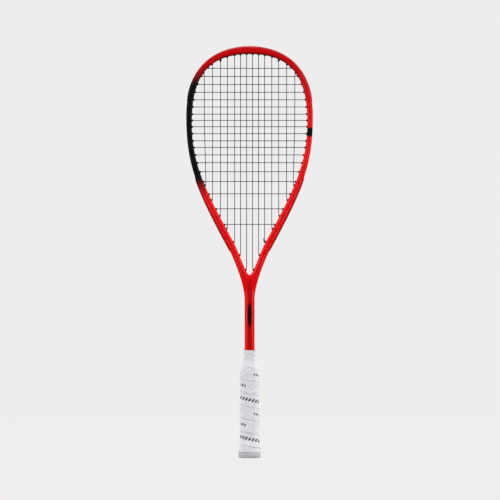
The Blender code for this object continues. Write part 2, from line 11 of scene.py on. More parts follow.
import bmesh
import bpy
import numpy as np
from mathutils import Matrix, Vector


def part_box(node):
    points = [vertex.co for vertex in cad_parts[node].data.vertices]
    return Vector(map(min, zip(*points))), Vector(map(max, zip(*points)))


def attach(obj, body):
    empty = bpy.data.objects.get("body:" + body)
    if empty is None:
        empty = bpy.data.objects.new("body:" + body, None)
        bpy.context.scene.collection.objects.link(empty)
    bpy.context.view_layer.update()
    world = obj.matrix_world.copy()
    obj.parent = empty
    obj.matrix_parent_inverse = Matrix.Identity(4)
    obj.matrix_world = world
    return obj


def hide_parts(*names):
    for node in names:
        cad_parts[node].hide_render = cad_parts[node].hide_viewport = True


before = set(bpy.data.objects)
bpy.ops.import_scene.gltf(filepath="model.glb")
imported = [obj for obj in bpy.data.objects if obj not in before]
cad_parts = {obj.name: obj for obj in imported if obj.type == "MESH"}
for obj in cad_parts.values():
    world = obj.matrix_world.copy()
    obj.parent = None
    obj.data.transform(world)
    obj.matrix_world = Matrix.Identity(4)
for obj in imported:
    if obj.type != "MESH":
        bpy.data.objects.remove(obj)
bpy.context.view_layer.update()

MM = 0.001

# Sizes read from the CAD model.
FRAME_LOW, FRAME_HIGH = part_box("frame")
GUARD_LOW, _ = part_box("bumper_guard")
STRIP_LOW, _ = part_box("grommet_strip_right")
WRAP_LOW, WRAP_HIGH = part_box("grip_wrap")
THROAT_LOW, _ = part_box("throat_grommet_right_lower")
TOP = FRAME_HIGH.z
BEAM_HALF = FRAME_HIGH.y

# Sizes of the frame that the outlines follow.
GAP = 0.3 * MM
RIM_HEAD = 11 * MM
RIM_SIDE = 9 * MM
RIM_ARM = 11.9 * MM
WINDOW_HEIGHT = 369.6 * MM
WINDOW_HALF_WIDTH = FRAME_HIGH.x - RIM_SIDE
WINDOW_TOP = TOP - RIM_HEAD
WINDOW_BOTTOM = WINDOW_TOP - WINDOW_HEIGHT
EDGE_RADIUS = 3 * MM
SHAFT_HALF_WIDTH = 8.3 * MM
THROAT_LENGTH = 42 * MM
SHAFT_TOP = WINDOW_BOTTOM - THROAT_LENGTH

# Groove and strings: levels are measured outwards from the frame's outer face.
STRING_RADIUS = 0.6 * MM
STRING_LEVEL = -0.7 * MM
GROOVE_END = THROAT_LOW.z - 2 * MM
BARREL_RISE = 1.6 * MM
BEND_ROOM = 0.8 * MM
HOLE_LEAN = 0.25
GROMMET_HALF_LENGTH = 4.5 * MM
RUN_OFFSET = 1.6 * MM
RUN_LEAD = 3 * MM
TAIL_LENGTH = 7 * MM
MOUTH_MARGIN = 1.5 * MM
WEAVE = 0.62 * MM
MAIN_SPACINGS = (5, 10, 10, 12, 11.5, 13.3, 13.7)
OUTER_MAIN = 0.782
OUTER_MAIN_BOW = 2.6 * MM
BOW_CROSS = 15
CROSS_SPACINGS = (13.5, 13.5, 13, 12.5, 12, 12, 10.5, 10.5, 11.5, 12, 11, 12.5, 13, 15, 16.5, 20.5, 25, 26)
TOP_CROSS = 0.066
LOW_CROSS = 0.771

# Handle.
HANDLE_HALF_WIDTH = 16.65 * MM
HANDLE_HALF_DEPTH = 14.2 * MM
FLARE = WRAP_HIGH.x - HANDLE_HALF_WIDTH
WRAP_THICKNESS = 1.7 * MM
CUT_WIDTH = 7.5 * MM
CUT_DEPTH = 6.5 * MM
CAP_BAND = WRAP_LOW.z - GAP
CAP_HEIGHT = 24 * MM
COLLAR_LENGTH = 17 * MM
TAPER_LENGTH = 20 * MM
TAPE_PITCH = 21.75 * MM
TAPE_LAP = 2.6 * MM
TAPE_SEAM = 84.5 * MM
TOP_SLANT = -0.065


# Numbers and shapes.


def ease(low, high, values):
    """0 below low, 1 above high and a smooth rise between."""
    share = np.clip((values - low) / (high - low), 0, 1)
    return share * share * (3 - 2 * share)


def unit(vectors):
    """The vectors with their lengths made 1."""
    return vectors / np.linalg.norm(vectors, axis=-1, keepdims=True)


def stand_up(points):
    """Points drawn as (across, height, depth), in the racket's own frame."""
    points = np.asarray(points, float)
    return np.stack([points[..., 0], -points[..., 2], points[..., 1]], -1)


def grid_faces(rows, columns, around):
    """The quads between rows of points; with around, each row is a closed ring."""
    across = columns if around else columns - 1
    row, column = np.meshgrid(np.arange(rows - 1), np.arange(across), indexing="ij")
    here, there = row * columns, (row + 1) * columns
    after = (column + 1) % columns
    corners = (here + column, here + after, there + after, there + column)
    return np.stack(corners, -1).reshape(-1, 4).tolist()


class Shape:
    """Points and faces that are gathered into one mesh."""

    def __init__(self):
        self.points, self.faces, self.uvs = [], [], []

    def add(self, points, faces, uvs=None):
        first = len(self.points)
        self.points += np.asarray(points).reshape(-1, 3).tolist()
        self.faces += [[first + corner for corner in face] for face in faces]
        self.uvs += np.asarray(uvs).reshape(-1, 2).tolist() if uvs is not None else []

    def grid(self, points, around=False, caps=False, uvs=None):
        """Rows of points, joined by quads; caps close the first and the last ring."""
        rows, columns = points.shape[:2]
        faces = grid_faces(rows, columns, around)
        if caps:
            faces += [list(range(columns))[::-1], list(range((rows - 1) * columns, rows * columns))]
        self.add(points, faces, uvs)

    def build(self, name, look, weld=0.0, crease=40):
        """The finished piece, turned upright and linked into the scene."""
        mesh = bpy.data.meshes.new(name)
        mesh.from_pydata(stand_up(self.points).tolist(), [], self.faces)
        if self.uvs:
            layer = mesh.uv_layers.new(name="along_and_across")
            corners = np.empty(len(mesh.loops), np.int32)
            mesh.loops.foreach_get("vertex_index", corners)
            layer.uv.foreach_set("vector", np.array(self.uvs)[corners].astype(np.float32).ravel())
        cleaner = bmesh.new()
        cleaner.from_mesh(mesh)
        if weld:
            bmesh.ops.remove_doubles(cleaner, verts=cleaner.verts, dist=weld)
        bmesh.ops.dissolve_degenerate(cleaner, edges=cleaner.edges, dist=1e-7)
        bmesh.ops.recalc_face_normals(cleaner, faces=cleaner.faces)
        cleaner.to_mesh(mesh)
        cleaner.free()
        mesh.shade_smooth()
        mesh.set_sharp_from_angle(angle=math.radians(crease))
        mesh.materials.append(look)
        piece = bpy.data.objects.new(name, mesh)
        bpy.context.scene.collection.objects.link(piece)
        return piece


def place(piece, nodes, slot):
    """The piece rides on the racket's root and stands for these CAD nodes, which are hidden; slot is not
    used.
    """
    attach(piece, "root")
    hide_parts(*nodes)


# Outlines.

SMALL_TURN = 1e-12
PLACES_AT_ONCE = 400


class Line:
    """A line of points, each with the unit normal that leads away from the window's middle."""

    def __init__(self, points, normals):
        self.points, self.normals = points, normals
        self.steps = np.diff(points, axis=0)
        self.lengths = np.linalg.norm(self.steps, axis=1)
        self.stations = np.concatenate(([0], np.cumsum(self.lengths)))
        self.end = self.stations[-1]

    def read(self, stations, values):
        return np.stack([np.interp(stations, self.stations, column) for column in values.T], -1)

    def at(self, stations, level=0.0):
        return self.read(stations, self.points) + np.asarray(level)[..., None] * self.normal(stations)

    def normal(self, stations):
        return unit(self.read(stations, self.normals))

    def station_at(self, height):
        """Where the line, which runs downwards, passes a height."""
        return float(np.interp(-height, -self.points[:, 1], self.stations))

    def nearest(self, places):
        """For each place, its distance from the line and the nearest station."""
        places = np.asarray(places)
        distance, station = [], []
        for some in np.array_split(places, max(1, len(places) // PLACES_AT_ONCE)):
            reach = some[:, None] - self.points[:-1]
            share = np.clip((reach * self.steps).sum(-1) / self.lengths**2, 0, 1)
            apart = np.linalg.norm(reach - share[..., None] * self.steps, axis=-1)
            best = apart.argmin(1)
            rows = np.arange(len(some))
            distance.append(apart[rows, best])
            station.append(self.stations[best] + share[rows, best] * self.lengths[best])
        return np.concatenate(distance), np.concatenate(station)

    def strike(self, start, direction):
        """The station and the point where a ray first meets the line."""
        reach = self.points[:-1] - start
        turn = direction[0] * self.steps[:, 1] - direction[1] * self.steps[:, 0]
        turn = np.where(np.abs(turn) < SMALL_TURN, SMALL_TURN, turn)
        ahead = (reach[:, 0] * self.steps[:, 1] - reach[:, 1] * self.steps[:, 0]) / turn
        share = (reach[:, 0] * direction[1] - reach[:, 1] * direction[0]) / turn
        ahead[(share < 0) | (share > 1) | (ahead <= 0)] = np.inf
        best = ahead.argmin()
        station = self.stations[best] + share[best] * self.lengths[best]
        return float(station), start + ahead[best] * direction

    def whole(self):
        """The line carried over to the other half, starting at that half's end."""
        flip = np.array([-1, 1])
        return Line(
            np.concatenate([self.points[:0:-1] * flip, self.points]),
            np.concatenate([self.normals[:0:-1] * flip, self.normals]),
        )

    def moved(self, level):
        return Line(self.points + level * self.normals, self.normals)


def sampled(segments, count):
    """A line along a chain of cubic curves that turn clockwise."""
    t = np.linspace(0, 1, count, endpoint=False)
    points, normals = [], []
    for segment in segments:
        a, b, c, d = (np.array(corner) for corner in segment)
        share = (t if segment is not segments[-1] else np.append(t, 1))[:, None]
        rest = 1 - share
        points.append(rest**3 * a + 3 * rest**2 * share * b + 3 * rest * share**2 * c + share**3 * d)
        along = unit(rest**2 * (b - a) + 2 * rest * share * (c - b) + share**2 * (d - c))
        normals.append(np.stack([-along[:, 1], along[:, 0]], -1))
    return Line(np.concatenate(points), np.concatenate(normals))


def window_point(across, drop):
    """A point at shares of the window's half width and of its height below its top."""
    return np.array([across * WINDOW_HALF_WIDTH, WINDOW_TOP - drop * WINDOW_HEIGHT])


OUTLINE_COUNT = 160
WINDOW_SHARES = (
    ((0, 0), (0.828, 0), (1, 0.138), (1, 0.313)),
    ((1, 0.313), (1, 0.5065), (0.724, 0.6365), (0.277, 0.852)),
    ((0.277, 0.852), (0.1635, 0.9063), (0.065, 1), (0, 1)),
)
WINDOW = sampled([[window_point(*share) for share in segment] for segment in WINDOW_SHARES], OUTLINE_COUNT)
WINDOW_ARM_IN, WINDOW_ARM = (window_point(*share) for share in WINDOW_SHARES[1][2:])


def outer_line():
    """The outer face of the right half, from the head's middle to the shaft."""
    down = unit(WINDOW_ARM - WINDOW_ARM_IN)
    out = np.array([-down[1], down[0]])
    up, across = np.array([0, WINDOW_HEIGHT]), np.array([WINDOW_HALF_WIDTH, 0])
    head = np.array([0, TOP])
    side = np.array([WINDOW_HALF_WIDTH + RIM_SIDE, WINDOW_TOP - 0.2815 * WINDOW_HEIGHT])
    arm = WINDOW_ARM + RIM_ARM * out
    shaft = np.array([SHAFT_HALF_WIDTH, SHAFT_TOP])
    segments = [
        (head, head + 0.4675 * across, side + 0.2494 * up, side),
        (side, side - 0.2097 * up, arm + 0.5645 * across + 0.2717 * up, arm),
        (arm, arm + 0.016 * WINDOW_HEIGHT * down, shaft + np.array([0, 0.79 * THROAT_LENGTH]), shaft),
    ]
    return sampled(segments, OUTLINE_COUNT)


OUTER = outer_line()
WHOLE_WINDOW = WINDOW.whole()
STRING_LINE = OUTER.moved(STRING_LEVEL).whole()


# String ends and the strings' places.

UP = np.array([0.0, 1.0])
RIGHT = np.array([1.0, 0.0])
WIDEST = WINDOW_TOP - 0.313 * WINDOW_HEIGHT


class StringEnd:
    """Where a string bends into its grommet, at the mouth, and comes out in the groove, at the exit."""

    def __init__(self, middle, direction):
        station, hit = WHOLE_WINDOW.strike(middle, direction)
        normal = WHOLE_WINDOW.normal(np.array([station]))[0]
        self.axis = unit((1 - HOLE_LEAN) * normal + HOLE_LEAN * direction)
        reach = BARREL_RISE + BEND_ROOM
        self.mouth = hit - reach * direction
        for _ in range(8):
            _, wall = WHOLE_WINDOW.strike(self.mouth, self.axis)
            self.mouth = self.mouth + (np.linalg.norm(wall - self.mouth) - reach) * direction
        _, self.wall = WHOLE_WINDOW.strike(self.mouth, self.axis)
        self.station, self.exit = STRING_LINE.strike(self.mouth, self.axis)


def main_places():
    steps = np.cumsum(MAIN_SPACINGS)
    half = steps / steps[-1] * OUTER_MAIN * WINDOW_HALF_WIDTH
    return np.concatenate([-half[::-1], half])


def cross_places():
    steps = np.concatenate(([0], np.cumsum(CROSS_SPACINGS)))
    return WINDOW_TOP - (TOP_CROSS + (LOW_CROSS - TOP_CROSS) * steps / steps[-1]) * WINDOW_HEIGHT


MAINS = main_places()
CROSSES = cross_places()


def main_across(k, height):
    """Where a main string is at a height: the outermost ones bow inwards towards the throat."""
    if 0 < k < len(MAINS) - 1:
        return MAINS[k]
    share = min(1, max(0, (WIDEST - height) / (WIDEST - CROSSES[BOW_CROSS])))
    return MAINS[k] - math.copysign(OUTER_MAIN_BOW * share, MAINS[k])


MAIN_LOW = [StringEnd(np.array([main_across(k, 0), WIDEST]), -UP) for k in range(len(MAINS))]
MAIN_HIGH = [StringEnd(np.array([across, WIDEST]), UP) for across in MAINS]
CROSS_LEFT = [StringEnd(np.array([0, height]), -RIGHT) for height in CROSSES]
CROSS_RIGHT = [StringEnd(np.array([0, height]), RIGHT) for height in CROSSES]
ENDS = MAIN_LOW + MAIN_HIGH + CROSS_LEFT + CROSS_RIGHT


# Materials.

# Where noise has most of its values.
CLOUD_RANGE = (0.3, 0.7)


class Look:
    """A Principled material and the nodes that feed it. An input may be a number or a socket."""

    def __init__(self, name, colour, roughness, **constants):
        self.material = bpy.data.materials.new(name)
        self.material.use_nodes = True
        self.tree = self.material.node_tree
        self.shader = self.tree.nodes["Principled BSDF"]
        self.set("Base Color", (*colour, 1))
        self.set("Roughness", roughness)
        for word, value in constants.items():
            self.set(word.replace("_", " ").title().replace("Ior", "IOR"), value)

    def set(self, word, value):
        self.feed(self.shader.inputs[word], value)

    def feed(self, socket, value):
        if isinstance(value, bpy.types.NodeSocket):
            self.tree.links.new(value, socket)
        else:
            socket.default_value = value

    def node(self, kind, settings=(), **inputs):
        made = self.tree.nodes.new("ShaderNode" + kind)
        for word, value in dict(settings).items():
            setattr(made, word, value)
        for word, value in inputs.items():
            self.feed(made.inputs[word.replace("_", " ")], value)
        return made

    def math(self, operation, a, b=0.0):
        made = self.node("Math", {"operation": operation})
        for socket, value in zip(made.inputs, (a, b)):
            self.feed(socket, value)
        return made.outputs[0]

    def plus(self, a, b):
        return self.math("ADD", a, b)

    def minus(self, a, b):
        return self.math("SUBTRACT", a, b)

    def times(self, *values):
        """All the values multiplied; for masks, where every one of them holds."""
        result = values[0]
        for value in values[1:]:
            result = self.math("MULTIPLY", result, value)
        return result

    def over(self, a, b):
        return self.math("DIVIDE", a, b)

    def size(self, value):
        return self.math("ABSOLUTE", value)

    def below(self, value, limit):
        """1 where the value is less than the limit, and 0 elsewhere."""
        return self.math("LESS_THAN", value, limit)

    def rise(self, value, low, high):
        """0 below low, 1 above high."""
        made = self.node("MapRange", {"interpolation_type": "SMOOTHSTEP"})
        for word, setting in (("Value", value), ("From Min", low), ("From Max", high)):
            self.feed(made.inputs[word], setting)
        return made.outputs["Result"]

    def fall(self, value, low, high):
        """1 below low, 0 above high."""
        return self.minus(1, self.rise(value, low, high))

    def span(self, value, low, high, low_to, high_to):
        """The value carried from one range to another, and held at its ends."""
        made = self.node("MapRange")
        words = ("Value", "From Min", "From Max", "To Min", "To Max")
        for word, setting in zip(words, (value, low, high, low_to, high_to)):
            self.feed(made.inputs[word], setting)
        return made.outputs["Result"]

    def mix(self, share, first, second):
        made = self.node("Mix", {"data_type": "RGBA"})
        self.feed(made.inputs["Factor"], share)
        self.feed(made.inputs[6], first if not isinstance(first, tuple) else (*first, 1))
        self.feed(made.inputs[7], second if not isinstance(second, tuple) else (*second, 1))
        return made.outputs[2]

    def object_place(self):
        """The place on the racket: its x, y and z sockets, and all three together."""
        place = self.node("TexCoord").outputs["Object"]
        parts = self.node("SeparateXYZ", Vector=place).outputs
        return parts[0], parts[1], parts[2], place

    def uv_place(self):
        """The place along a piece and across it, and both together."""
        place = self.node("UVMap", {"uv_map": "along_and_across"}).outputs["UV"]
        parts = self.node("SeparateXYZ", Vector=place).outputs
        return parts[0], parts[1], place

    def stretched(self, place, x, y, z):
        return self.node("Mapping", {}, Vector=place, Scale=(x, y, z)).outputs[0]

    def noise(self, place, scale, detail=2.0, roughness=0.5):
        made = self.node("TexNoise", Vector=place, Scale=scale, Detail=detail, Roughness=roughness)
        return made.outputs["Fac"]

    def roughen(self, clouds, low, high):
        """Roughness that drifts between two values with the clouds."""
        self.set("Roughness", self.span(clouds, *CLOUD_RANGE, low, high))

    def bump(self, height, distance, strength=1.0):
        made = self.node("Bump", Height=height, Distance=distance, Strength=strength)
        self.set("Normal", made.outputs[0])


# Paint. A pair is where one paint begins and finishes its change into the next.
BLACK_FOOT = (431 * MM, 466 * MM)
BLACK_TOP = (620 * MM, 660 * MM)
BLACK_WANDER = 6 * MM
BAND_FOOT = (533 * MM, 537 * MM)
BAND_TOP = (548 * MM, 552 * MM)
BAND_SIDE = 60 * MM
SPINDLE_MIDDLE = 237.5 * MM
SPINDLE_HALF_LENGTH = 28.5 * MM
SPINDLE_HALF_WIDTH = 3.4 * MM
SPINDLE_TAPER = 2.5
SPINDLE_SIDE = (-1.2 * MM, 1.4 * MM)
SPINDLE_TIP = (0.45, 1.05)
SPINDLE_FACE = -5 * MM

# Painted shade: the red is darkened towards the head and down the middle of the shaft.
PAINTED_SHADE_HEAD = (500 * MM, 660 * MM)
PAINTED_SHADE_HEAD_SHARE = 0.3
PAINTED_SHADE_SHAFT_SIDE = (2 * MM, 5 * MM)
PAINTED_SHADE_SHAFT_TOP = (280 * MM, 310 * MM)
PAINTED_SHADE_SHAFT_SHARE = 0.34


def lacquer():
    """Gloss red over carbon, with black fades on the left of the head, a black band, a dark spindle and
    painted shade.
    """
    look = Look("frame_lacquer", (0.6, 0.002, 0.004), 0.4, coat_roughness=0.12, specular_ior_level=0.1)
    x, y, z, place = look.object_place()
    aside = look.size(x)
    flakes = look.noise(place, 5200, 1)
    clouds = look.noise(place, 34, 3)
    red = look.mix(clouds, (0.6, 0.0005, 0.0018), (0.66, 0.001, 0.0026))
    red = look.mix(look.times(look.rise(flakes, 0.56, 0.8), 0.2), red, (0.78, 0.008, 0.012))
    black = look.mix(clouds, (0.0015, 0.0015, 0.0018), (0.004, 0.004, 0.0045))
    height = look.plus(z, look.times(look.minus(clouds, 0.5), BLACK_WANDER))
    left = look.times(look.rise(height, *BLACK_FOOT), look.fall(height, *BLACK_TOP), look.below(x, 0))
    right = look.times(look.rise(z, *BAND_FOOT), look.fall(z, *BAND_TOP), look.below(BAND_SIDE, x))
    reach = look.size(look.over(look.minus(z, SPINDLE_MIDDLE), SPINDLE_HALF_LENGTH))
    width = look.times(look.minus(1, look.math("POWER", reach, SPINDLE_TAPER)), SPINDLE_HALF_WIDTH)
    spindle = look.times(
        look.rise(look.minus(width, aside), *SPINDLE_SIDE),
        look.fall(reach, *SPINDLE_TIP),
        look.below(y, SPINDLE_FACE),
    )
    mask = look.math("MAXIMUM", look.math("MAXIMUM", left, right), spindle)
    # Painted shade: the red darkens towards the head and down the middle of the shaft.
    shaft = look.times(look.fall(aside, *PAINTED_SHADE_SHAFT_SIDE), look.fall(z, *PAINTED_SHADE_SHAFT_TOP), PAINTED_SHADE_SHAFT_SHARE)
    depth = look.plus(look.times(look.rise(z, *PAINTED_SHADE_HEAD), PAINTED_SHADE_HEAD_SHARE), shaft)
    shaded_red = look.mix(depth, red, (0.0, 0.0, 0.0))
    look.set("Base Color", look.mix(mask, shaded_red, black))
    look.set("Coat Weight", look.span(mask, 0, 1, 0.4, 0.05))
    scuffs = look.rise(look.noise(look.stretched(place, 30, 30, 160), 14, 4, 0.7), 0.62, 0.78)
    smear = look.span(look.noise(place, 60, 4, 0.6), *CLOUD_RANGE, 0.26, 0.36)
    look.set("Roughness", look.plus(smear, look.times(scuffs, 0.14)))
    peel = look.noise(place, 900, 2)
    look.bump(look.plus(peel, look.times(flakes, 0.1)), 0.01 * MM, 0.25)
    return look.material


def bumper_nylon():
    """Moulded dull red nylon, greyer with scrapes where it meets the wall, and a painted highlight on them
    at the head's top.
    """
    look = Look("bumper_nylon", (0.33, 0.02, 0.025), 0.5)
    x, _, z, place = look.object_place()
    grain = look.noise(place, 2600, 2)
    scrape = look.noise(look.stretched(place, 120, 500, 120), 5, 4, 0.65)
    clouds = look.noise(place, 45, 3)
    # Painted highlight: the pale scrapes grow stronger towards the top of the head; the scrapes themselves
    # are wear.
    top_highlight = look.rise(z, 600 * MM, 685 * MM)
    scrapes_and_highlight = look.times(look.rise(scrape, 0.5, 0.72), look.plus(look.times(top_highlight, 0.5), 0.2))
    base = look.mix(clouds, (0.42, 0.028, 0.034), (0.5, 0.04, 0.046))
    scraped_and_lit = look.mix(scrapes_and_highlight, base, (0.55, 0.2, 0.2))
    black = look.times(look.fall(z, *BLACK_TOP), look.below(x, 0))
    look.set("Base Color", look.mix(black, scraped_and_lit, (0.006, 0.006, 0.007)))
    look.set("Roughness", look.plus(look.span(clouds, *CLOUD_RANGE, 0.42, 0.58), look.times(scrapes_and_highlight, 0.2)))
    look.bump(look.minus(look.times(grain, 0.5), look.times(scrapes_and_highlight, 0.6)), 0.05 * MM, 0.6)
    return look.material


def grommet_nylon():
    """Black moulded nylon with a fine grain."""
    look = Look("grommet_nylon", (0.008, 0.008, 0.009), 0.45, specular_ior_level=0.3)
    _, _, _, place = look.object_place()
    grain = look.noise(place, 2400, 2)
    clouds = look.noise(place, 80, 3)
    look.set("Base Color", look.mix(clouds, (0.003, 0.003, 0.0035), (0.009, 0.009, 0.01)))
    look.roughen(clouds, 0.38, 0.56)
    look.bump(grain, 0.04 * MM, 0.5)
    return look.material


STRANDS_TO_METRE = 420
STRANDS_ROUND = 6


def string_multifilament():
    """Black coated filaments, twisted, with the sheen of the coating and painted shade in the twist's
    grooves.
    """
    look = Look("string_multifilament", (0.01, 0.01, 0.011), 0.42, coat_weight=0.1, specular_ior_level=0.3)
    along, across, place = look.uv_place()
    turns = look.plus(look.times(along, STRANDS_TO_METRE), look.times(across, STRANDS_ROUND))
    strands = look.size(look.minus(look.math("FRACT", turns), 0.5))
    clouds = look.noise(look.stretched(place, 900, 3, 1), 1, 3)
    # Painted shade: the grooves of the twist, low in the bump, are darker than its ridges.
    dark = look.mix(look.rise(strands, 0.05, 0.3), (0.003, 0.003, 0.0035), (0.012, 0.012, 0.013))
    look.set("Base Color", look.mix(look.times(clouds, 0.4), dark, (0.025, 0.025, 0.028)))
    look.roughen(clouds, 0.3, 0.5)
    look.bump(look.rise(strands, 0.0, 0.28), 0.06 * MM, 0.8)
    return look.material


# The tape's vent holes, and the blocks of bars printed on it: for each turn in a pattern of three,
# the block's half length, half height and shift along the tape.
VENT_STEP = 3 * MM
VENT_EDGE = (0.1, 0.17)
BAR_STEP = 5.6 * MM
BAR_SHARE = 0.6
BAR_SLANT = 0.6
PRINT_TOP = 150 * MM
PRINT_INK = 0.95
TAPE_PRINTS = ((18 * MM, 2.7 * MM, 0 * MM), (5.5 * MM, 2.1 * MM, 12 * MM), (6 * MM, 1.6 * MM, -13 * MM))


def vent_holes(look, along, across):
    """Rows of round holes, every second row shifted by half a step."""
    row = look.over(across, VENT_STEP)
    shift = look.times(look.math("MODULO", look.math("FLOOR", row), 2), 0.5)
    in_row = look.minus(look.math("FRACT", look.plus(look.over(along, VENT_STEP), shift)), 0.5)
    in_column = look.minus(look.math("FRACT", row), 0.5)
    apart = look.plus(look.math("POWER", in_row, 2), look.math("POWER", in_column, 2))
    return look.fall(look.math("SQRT", apart), *VENT_EDGE)


def printed_bars(look, along, across, z):
    """Blocks of slanted bars, one to each turn of the tape, in a pattern that repeats every third turn."""
    lift = look.minus(across, (TAPE_PITCH - TAPE_LAP) / 2 + TAPE_LAP)
    slanted = look.plus(along, look.times(lift, BAR_SLANT))
    bars = look.below(look.math("FRACT", look.over(slanted, BAR_STEP)), BAR_SHARE)
    period = look.math("FLOORED_MODULO", along, len(TAPE_PRINTS) * TAPE_TURN)
    blocks = 0.0
    for turn, (half_length, half_height, shift) in enumerate(TAPE_PRINTS):
        near = look.below(look.size(look.minus(period, (turn + 0.5) * TAPE_TURN + shift)), half_length)
        blocks = look.math("MAXIMUM", blocks, look.times(near, look.below(look.size(lift), half_height)))
    return look.times(bars, blocks, look.below(z, PRINT_TOP), PRINT_INK)


def grip_leatherette():
    """Soft white tape with a fine leather grain, rows of vent holes painted dark as shade, and slanted grey
    bars printed on it.
    """
    look = Look("grip_leatherette", (0.7, 0.7, 0.74), 0.72, sheen_weight=0.2, sheen_roughness=0.5)
    along, across, _ = look.uv_place()
    _, _, z, place = look.object_place()
    grain = look.node("TexVoronoi", {"feature": "DISTANCE_TO_EDGE"}, Vector=place, Scale=950.0).outputs[0]
    fine = look.noise(place, 3600, 2)
    clouds = look.noise(place, 60, 4)
    mottle = look.rise(look.noise(look.stretched(place, 150, 150, 380), 1, 3, 0.65), 0.42, 0.62)
    soil = look.rise(look.noise(place, 17, 4), 0.5, 0.75)
    vents = vent_holes(look, along, across)
    white = look.mix(clouds, (0.64, 0.65, 0.68), (0.75, 0.75, 0.78))
    mottled = look.mix(look.times(mottle, 0.42), white, (0.48, 0.49, 0.53))
    soiled = look.mix(look.times(soil, 0.35), mottled, (0.55, 0.55, 0.58))
    # Painted shade: the vent holes, which the mesh doesn't cut, are painted dark grey as shade inside them.
    holes = look.mix(look.times(vents, 0.75), soiled, (0.2, 0.2, 0.23))
    look.set("Base Color", look.mix(printed_bars(look, along, across, z), holes, (0.03, 0.03, 0.035)))
    look.roughen(clouds, 0.62, 0.82)
    leather = look.plus(look.times(look.rise(grain, 0.0, 0.12), 0.4), look.times(fine, 0.2))
    look.bump(look.minus(leather, vents), 0.2 * MM, 0.7)
    return look.material


def moulded(name, low, high, roughness, grain, depth, **constants):
    """A plain moulded or foamed stuff: two close colours in clouds, and grain of one size."""
    look = Look(name, low, roughness, **constants)
    _, _, _, place = look.object_place()
    clouds = look.noise(place, 70, 4)
    look.set("Base Color", look.mix(clouds, low, high))
    look.roughen(clouds, roughness - 0.08, roughness + 0.08)
    look.bump(look.noise(place, grain, 3), depth, 0.6)
    return look.material


# Frame.

# How finely it is drawn: points across, and rows down. A power crowds the rows towards one end, and
# their spacing changes at a joint on the arm and again just below the window.
ROUND_PLACES = EDGE_RADIUS * (1 - np.cos(np.radians(np.linspace(0, 90, 6))))
MIDDLE_COLUMNS = 15
WALL_COLUMNS = 5
HOOP_ROWS = 150
THROAT_ROWS = 44
THROAT_CROWDING = 0.9
CROTCH_ROWS = 30
OUTER_CROWDING = 1.4
INNER_CROWDING = 1.6
SHAFT_ROWS = 50
ARM_JOINT = 345 * MM
CROTCH_DROP = 7.2 * MM

# The slopes at the sides of the face, and the crease along the arms.
FACET_DROP = 2.2 * MM
FACET_FLAT = 0.3
FACET_SOFTNESS = 0.05
FACET_BLEND = 30 * MM
ARM_FACET_SHARE = 0.7
HEAD_FACET_SHARE = 0.2
HEAD_FACET = (500 * MM, 620 * MM)
COLLAR_FACET_SHARE = 0.4
COLLAR_FACET = (WRAP_HIGH.z, WRAP_HIGH.z + 15 * MM)
CREASE_DEPTH = 0.6 * MM
CREASE_PLACE = 0.3
CREASE_REACH = 0.16
CREASE_LOW = 285 * MM
CREASE_HIGH = 480 * MM

# Half the groove in the outer face, as (level, depth) in millimetres, from its mouth to its floor.
GROOVE_SECTION = ((0, 3.95), (-0.1, 3.62), (-0.4, 3.5), (-3.8, 3.5), (-3.8, 0))
GROOVE_RUN_OUT = 2 * MM

OUTER_WITH_SHAFT = Line(
    np.concatenate([OUTER.points, [[SHAFT_HALF_WIDTH, FRAME_LOW.z - 10 * MM]]]),
    np.concatenate([OUTER.normals, [RIGHT]]),
)


def round_drop(distance):
    """How far the rounded edge lies below the face, at a distance from the edge."""
    short = np.clip(EDGE_RADIUS - distance, 0, EDGE_RADIUS)
    return EDGE_RADIUS - np.sqrt(EDGE_RADIUS**2 - short**2)


def crowded(rows, power):
    """Shares of the way from the first row to the last, without the first."""
    return np.linspace(0, 1, rows)[1:] ** power


def frame_rows():
    """Pairs of points, inner and outer, across the right half of the frame from the head down."""
    joint, crotch = (OUTER.station_at(height) for height in (ARM_JOINT, WINDOW_BOTTOM - CROTCH_DROP))
    groove_end = OUTER.station_at(GROOVE_END)
    hoop = np.linspace(0, joint, HOOP_ROWS)
    throat = np.linspace(joint, crotch, THROAT_ROWS)[1:]
    below = crotch + (OUTER.end - crotch) * crowded(CROTCH_ROWS, OUTER_CROWDING)
    _, paired = WINDOW.nearest(OUTER.at(hoop))
    around_throat = paired[-1] + (WINDOW.end - paired[-1]) * crowded(THROAT_ROWS, THROAT_CROWDING)
    middle = WINDOW_BOTTOM + (SHAFT_TOP - WINDOW_BOTTOM) * crowded(CROTCH_ROWS, INNER_CROWDING)
    inner = np.concatenate([WINDOW.at(paired), WINDOW.at(around_throat), np.stack([0 * below, middle], -1)])
    inner[0, 0] = 0
    stations = np.concatenate([hoop, throat, below])
    outer, normals = OUTER.at(stations), OUTER.normal(stations)
    heights = np.linspace(SHAFT_TOP, FRAME_LOW.z, SHAFT_ROWS)[1:]
    shaft = np.stack([np.full_like(heights, SHAFT_HALF_WIDTH), heights], -1)
    inner = np.concatenate([inner, shaft * (0, 1)])
    outer = np.concatenate([outer, shaft])
    normals = np.concatenate([normals, np.tile(RIGHT, (len(heights), 1))])
    groove = np.concatenate([ease(groove_end + GROOVE_RUN_OUT, groove_end, stations), 0 * heights])
    return inner, outer, normals, groove, len(hoop) + len(throat)


